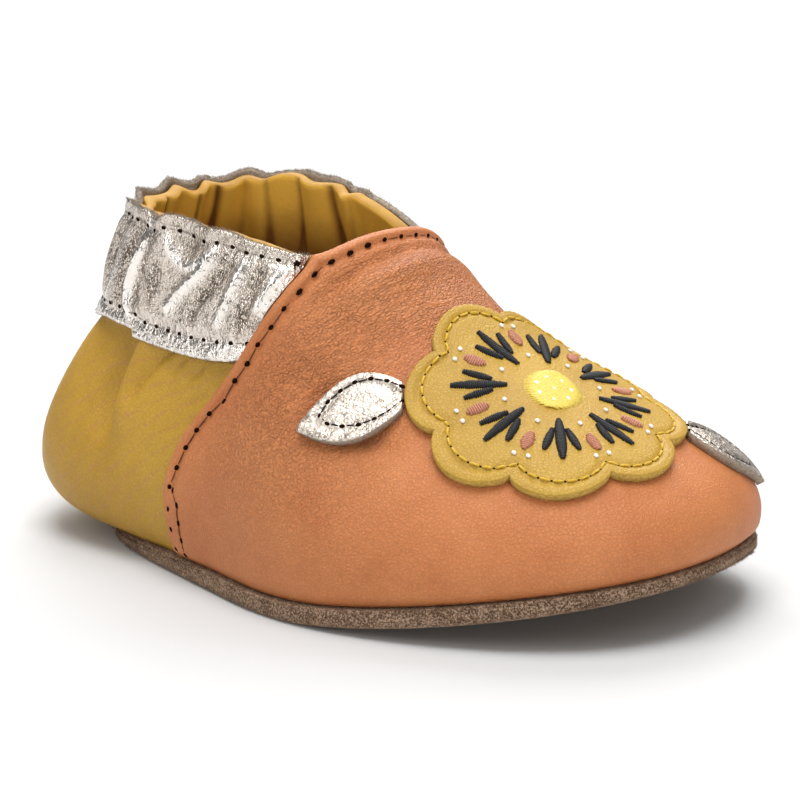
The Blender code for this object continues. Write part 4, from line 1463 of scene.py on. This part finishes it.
def build_flower(material, edge_material):
    """Flower patch of raw-edged mustard leather, pulled down along its stitch row."""
    angle = turns(FLOWER_STEPS)
    near_edge = np.linspace(0.87, 1.0, FLOWER_EDGE_RINGS)
    share = np.concatenate([np.linspace(0.01, 0.86, FLOWER_RINGS), near_edge])
    flat = on_circle(petal_radius(angle)[:, None] * share, angle[:, None])
    outline = on_circle(petal_radius(angle), angle)[::2]
    top, bottom = lay_patch(flat, outline, FLOWER_STITCH_INSET, FLOWER_SWELL)
    rows, columns = flat.shape[:2]
    count = rows * columns
    face = grid_faces(rows, columns, closed_rows=True)
    hub = np.arange(rows) * columns
    rim = hub + columns - 1
    faces = np.concatenate([face, face + count, join_loops(rim, rim + count)]).tolist()
    faces += [hub.tolist(), (hub + count).tolist()]
    slots = np.concatenate([np.zeros(len(face)), np.ones(len(faces) - len(face))])
    slots[-2] = 0
    points = np.concatenate([top.reshape(-1, 3), bottom.reshape(-1, 3)])
    flower = make_piece("flower_patch", points, faces, [material, edge_material], slots)
    return flower, BVHTree.FromPolygons(top.reshape(-1, 3).tolist(), face.tolist() + [hub.tolist()])


def leaf_half_width(share):
    """Half width of a leaf at a share of its length, from the stalk to the tip."""
    ends = LEAF_STALK_HALF_WIDTH + (LEAF_TIP_HALF_WIDTH - LEAF_STALK_HALF_WIDTH) * share
    return ends + (LEAF_HALF_WIDTH - ends) * np.sin(math.pi * share ** 0.85)


def leaf_flat(turn, share, across):
    """Flat place on a leaf: share of its length, and millimetres beside its axis."""
    away = FLOWER_RADIUS + GAP + LEAF_LENGTH * share + 0.0 * across
    return np.stack([away * math.cos(turn) - across * math.sin(turn),
                     away * math.sin(turn) + across * math.cos(turn)], axis=-1)


def leaf_line(turn, share, inset):
    """Line inside a leaf's outline, along one side towards the tip and back along the other."""
    across = np.clip(leaf_half_width(share) - inset, 0.05, None)
    return np.concatenate([leaf_flat(turn, share, across), leaf_flat(turn, share, -across)[::-1]])


def build_leaf(name, turn, material, edge_material):
    """Leaf patch of foil with a raw edge, its stalk against a petal."""
    share = np.linspace(0.0, 1.0, LEAF_STEPS + 1)[:, None]
    across = np.sin(0.5 * math.pi * np.linspace(-1.0, 1.0, LEAF_STEPS_ACROSS + 1))[None, :]
    flat = leaf_flat(turn, share, across * leaf_half_width(share))
    outline = leaf_line(turn, np.linspace(0.0, 1.0, 60), 0.0)
    top, bottom = lay_patch(flat, outline, LEAF_STITCH_INSET, LEAF_SWELL)
    points, faces, slots = sheet_parts(top, bottom)
    maps = {"crackle": np.full(len(points), LEAF_CRACKLE)}
    piece_name = name.replace("applique", "foil")
    return make_piece(piece_name, points, faces, [material, edge_material], slots, maps), top


# Stitches

def stitch_paths(vamp_surface, cuff_outer, flower_surface, leaf_tops):
    """Every visible stitch row, as the colour of its thread, its path and the surface under it."""
    rows = [("brown", evenly(vamp_stitch_line(), VAMP_PITCH), vamp_surface)]
    rows += [("brown", evenly(line, BAR_PITCH), vamp_surface) for line in bar_lines()]
    cuff_surface = search_tree(cuff_outer)
    heights = np.linspace(0.0, 1.0, cuff_outer.shape[1])
    for across in (CUFF_ROW_LOW, CUFF_ROW_HIGH):
        line = cuff_outer[6:-6, np.argmin(np.abs(heights - across))]
        rows.append(("grey", evenly(line, CUFF_PITCH), cuff_surface))
    angle = turns(720)
    ring, _ = drop_on(on_circle(petal_radius(angle) - FLOWER_STITCH_INSET, angle), flower_surface)
    rows.append(("yellow", evenly(ring, FLOWER_PITCH, closed=True), flower_surface))
    for turn, top in leaf_tops:
        flat = leaf_line(turn, np.linspace(0.04, 0.86, 60), LEAF_STITCH_INSET)
        line, _ = drop_on(flat, vamp_tree(PATCH_GAP + PATCH_LEATHER))
        rows.append(("black", evenly(line, LEAF_PITCH), search_tree(top)))
    return rows


def build_stitches(paths, materials):
    """All visible stitch rows: threads by colour, and one mesh of dark beads as painted shade in the needle
    holes.
    """
    core = np.array([0.5 * SOLE_LENGTH, 0.0, 0.4 * INSTEP_HEIGHT])
    groups = {colour: [] for colour in STITCHES}
    holes = []
    for colour, path, surface in paths:
        look = dict(zip(STITCH_COLUMNS, STITCHES[colour]))
        places, normals = nearest_on(path, surface)
        normals = normals * np.sign(np.sum(normals * (places - core), axis=-1, keepdims=True))
        along = unit(np.gradient(places, axis=0))
        # a dark bead in each needle hole, as painted shade
        holes.append(beads(places - normals * look["hole_sink"], normals, along, look["hole"]))
        # The yellow row runs all around the flower, back to its first hole
        if colour == "yellow":
            places = np.concatenate([places, places[:1]])
            normals = np.concatenate([normals, normals[:1]])
        groups[colour].append(stitch_row(places, normals, look))
    pieces = make_by_colour("stitches_", groups, materials)
    return pieces + [make_piece("needle_hole_shades", *joined(holes), [materials["hole"]])]


def build_seam_stitches(material):
    """Small stitches that show in the seam between the upper and the sole."""
    path = evenly(sole_ring(SEAM_OUT, -0.02, up=1.0), SEAM_PITCH, closed=True)
    tangents = unit(np.roll(path, -1, axis=0) - np.roll(path, 1, axis=0))
    away = unit(np.cross(tangents, UP))
    places = np.linspace(-SEAM_HALF_STITCH, SEAM_HALF_STITCH, 5)[:, None]
    centres = path[:, None, :] + tangents[:, None, :] * places + UP * 0.02
    points, faces = tubes(centres, np.repeat(away[:, None, :], 5, axis=1), SEAM_THREAD)
    return make_piece("seam_stitches", points, faces, [material])


# Embroidery on the flower

def satin(surface, starts, ends):
    """Satin stitches: threads laid side by side from starts to ends, arched over the leather."""
    share = np.linspace(0.0, 1.0, THREAD_STEPS)[:, None]
    places, normals = drop_on(starts[:, None, :] + (ends - starts)[:, None, :] * share, surface)
    arch = (SATIN_RISE + SATIN_SINK) * np.sin(math.pi * share) ** 0.5 - SATIN_SINK
    return tubes(places + normals * arch, normals, SATIN_RADIUS)


def satin_stroke(surface, start, end, half_width, draw, spacing=0.3):
    """A stroke from start to end, filled with satin stitches across it and pointed at both ends."""
    length = float(np.linalg.norm(end - start))
    along = (end - start) / length
    count = max(4, int(length / spacing))
    share = (np.arange(count) + 0.5) / count
    width = half_width * (0.25 + 0.75 * np.sin(math.pi * share) ** 0.6) + draw.uniform(-0.06, 0.06, count)
    middle = start + along * (share * length)[:, None]
    reach = (np.array([-along[1], along[0]]) + along * 0.125 * half_width) * width[:, None]
    return satin(surface, middle - reach, middle + reach)


def satin_disc(surface, centre, radius, draw, turn, spacing=0.33):
    """A round or oval of parallel satin stitches: radius is (along the threads, across them)."""
    count = int(2.0 * radius[1] / spacing)
    across = (np.arange(count) + 0.5) / count * 2.0 - 1.0
    half = radius[0] * np.sqrt(1.0 - across ** 2) + draw.uniform(-0.1, 0.1, count)
    one = np.array([math.cos(turn), math.sin(turn)])
    other = np.array([-one[1], one[0]])
    middle = np.asarray(centre) + other * (across * radius[1])[:, None]
    return satin(surface, middle - one * half[:, None], middle + one * half[:, None])


def knots(surface, flat, size):
    """Raised round knots of thread."""
    places, normals = drop_on(flat, surface)
    along = np.cross(normals, np.array([0.3, 1.0, 0.2]))
    return beads(places + normals * 0.2 * size, normals, along, (size, 0.8 * size, 0.6 * size))


def build_embroidery(surface, materials):
    """A plain flower design: dotted middle, veined petals, and small ovals between the petals."""
    draw = np.random.default_rng(EMBROIDERY_SEED)
    groups = {"black": [], "pale": [], "pink": [], "white": []}
    groups["pale"].append(satin_disc(surface, (0.0, 0.0), DISC_RADIUS, draw, DISC_TURN))
    ring = on_circle(KNOT_RING_RADIUS, turns(KNOTS_IN_RING))
    groups["white"].append(knots(surface, ring, KNOT_SIZE))
    groups["white"].append(knots(surface, np.zeros((1, 2)), KNOT_SIZE))
    for turn in turns(FLOWER_PETALS):
        for lean, inner, outer, width in VEINS:
            start = on_circle(inner, turn + VEIN_START_LEAN * lean)
            end = on_circle(outer, turn + lean)
            groups["black"].append(satin_stroke(surface, start, end, width, draw))
        between = turn + 0.5 * FULL_TURN / FLOWER_PETALS
        middle = on_circle(OVAL_AWAY, between)
        groups["pink"].append(satin_disc(surface, middle, OVAL_RADIUS, draw, between + 0.5 * math.pi))
        dots = on_circle(np.array(DOTS_AWAY), between + np.array(DOTS_LEAN))
        groups["white"].append(knots(surface, dots, DOT_SIZE))
    return make_by_colour("embroidery_", groups, materials)


# Studio

def aim_at(thing, point):
    thing.rotation_euler = (thing.location - Vector(point)).to_track_quat("Z", "Y").to_euler()


def add_light(name, place, size, power):
    """A soft rectangular light that faces the shoe."""
    lamp = bpy.data.lights.new(name, "AREA")
    lamp.shape = "RECTANGLE"
    lamp.size = size[0]
    lamp.size_y = size[1]
    lamp.energy = power
    light = bpy.data.objects.new(name, lamp)
    light.location = place
    bpy.context.collection.objects.link(light)
    aim_at(light, LIGHT_AIM)


def add_world():
    """A grey room that is lighter above than at the sides, which the foil reflects."""
    world = bpy.data.worlds.new("soft_room")
    world.use_nodes = True
    tree = world.node_tree
    height = field(tree, "SeparateXYZ", "Z", {"Vector": field(tree, "TexCoord", "Generated")})
    inputs = tree.nodes["Background"].inputs
    feed(inputs["Color"], ramp(height, (0.0, grey(0.10)), (0.25, grey(0.16)), (0.65, grey(1.0))))
    feed(inputs["Strength"], ROOM_STRENGTH)
    bpy.context.scene.world = world


def add_floor():
    """A wide pale floor under the sole."""
    corners = [(x * FLOOR_REACH, y * FLOOR_REACH, 0.0) for x, y in ((-1, -1), (1, -1), (1, 1), (-1, 1))]
    mesh = bpy.data.meshes.new("floor")
    mesh.from_pydata(corners, [], [(0, 1, 2, 3)])
    mesh.materials.append(plain_floor())
    floor = bpy.data.objects.new("floor", mesh)
    bpy.context.collection.objects.link(floor)


def add_camera():
    """The photograph's angle on the shoe, framed on this one shoe."""
    turn = math.radians(VIEW_AZIMUTH)
    tilt = math.radians(VIEW_ELEVATION)
    towards = Vector((math.sin(turn) * math.cos(tilt), -math.cos(turn) * math.cos(tilt), math.sin(tilt)))
    right = Vector((math.cos(turn), math.sin(turn), 0.0))
    target = Vector((np.array(VIEW_TARGET) + LAST_PLACE) * MM)
    data = bpy.data.cameras.new("photo_view")
    data.lens = LENS
    data.sensor_width = SENSOR
    camera = bpy.data.objects.new("photo_view", data)
    camera.location = target + towards * VIEW_DISTANCE * MM
    bpy.context.collection.objects.link(camera)
    aim_at(camera, target + right * AIM_RIGHT * MM + towards.cross(right) * AIM_UP * MM)
    bpy.context.scene.camera = camera


def add_studio():
    add_floor()
    add_world()
    for name, light in LIGHTS.items():
        add_light(name, *light)
    add_camera()
    bpy.context.scene.view_settings.view_transform = "Standard"


def main():
    threads = {colour: thread("thread_" + colour, *look) for colour, look in THREADS.items()}
    # the needle holes' painted shade
    threads["hole"] = thread("needle_hole_shade", *NEEDLE_HOLE_SHADE)
    raw_grey = raw_edge("raw_grey_edge", RAW_GREY)
    lining = lining_leather()
    napped = suede()

    upper = build_upper(mustard_leather(), lining)
    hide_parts("upper")
    vamp, vamp_surface = build_vamp(tan_leather(), raw_edge("raw_tan_edge", RAW_TAN))
    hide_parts("vamp")
    cuff, cuff_outer, cuff_inner = build_cuff(foil_leather("champagne_foil", 1.2, 0.18), raw_grey)
    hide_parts("cuff")
    build_fuzz(cuff_outer, cuff_inner, raw_grey)
    sole = build_sole(napped)
    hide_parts("outsole")
    build_nap(napped)
    insole = build_insole(lining)
    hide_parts("insole")
    flower, flower_surface = build_flower(patch_leather(), raw_edge("raw_yellow_edge", RAW_YELLOW))
    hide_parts("applique_flower")
    leaf_foil = foil_leather("leaf_foil", 0.7, 0.34)
    leaf_tops = []
    for name, turn in LEAF_TURNS.items():
        leaf, top = build_leaf(name, turn, leaf_foil, raw_grey)
        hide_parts(name)
        leaf_tops.append((turn, top))

    small = build_stitches(stitch_paths(vamp_surface, cuff_outer, flower_surface, leaf_tops), threads)
    small.append(build_seam_stitches(threads["brown"]))
    small += build_embroidery(flower_surface, threads)
    add_studio()


main()
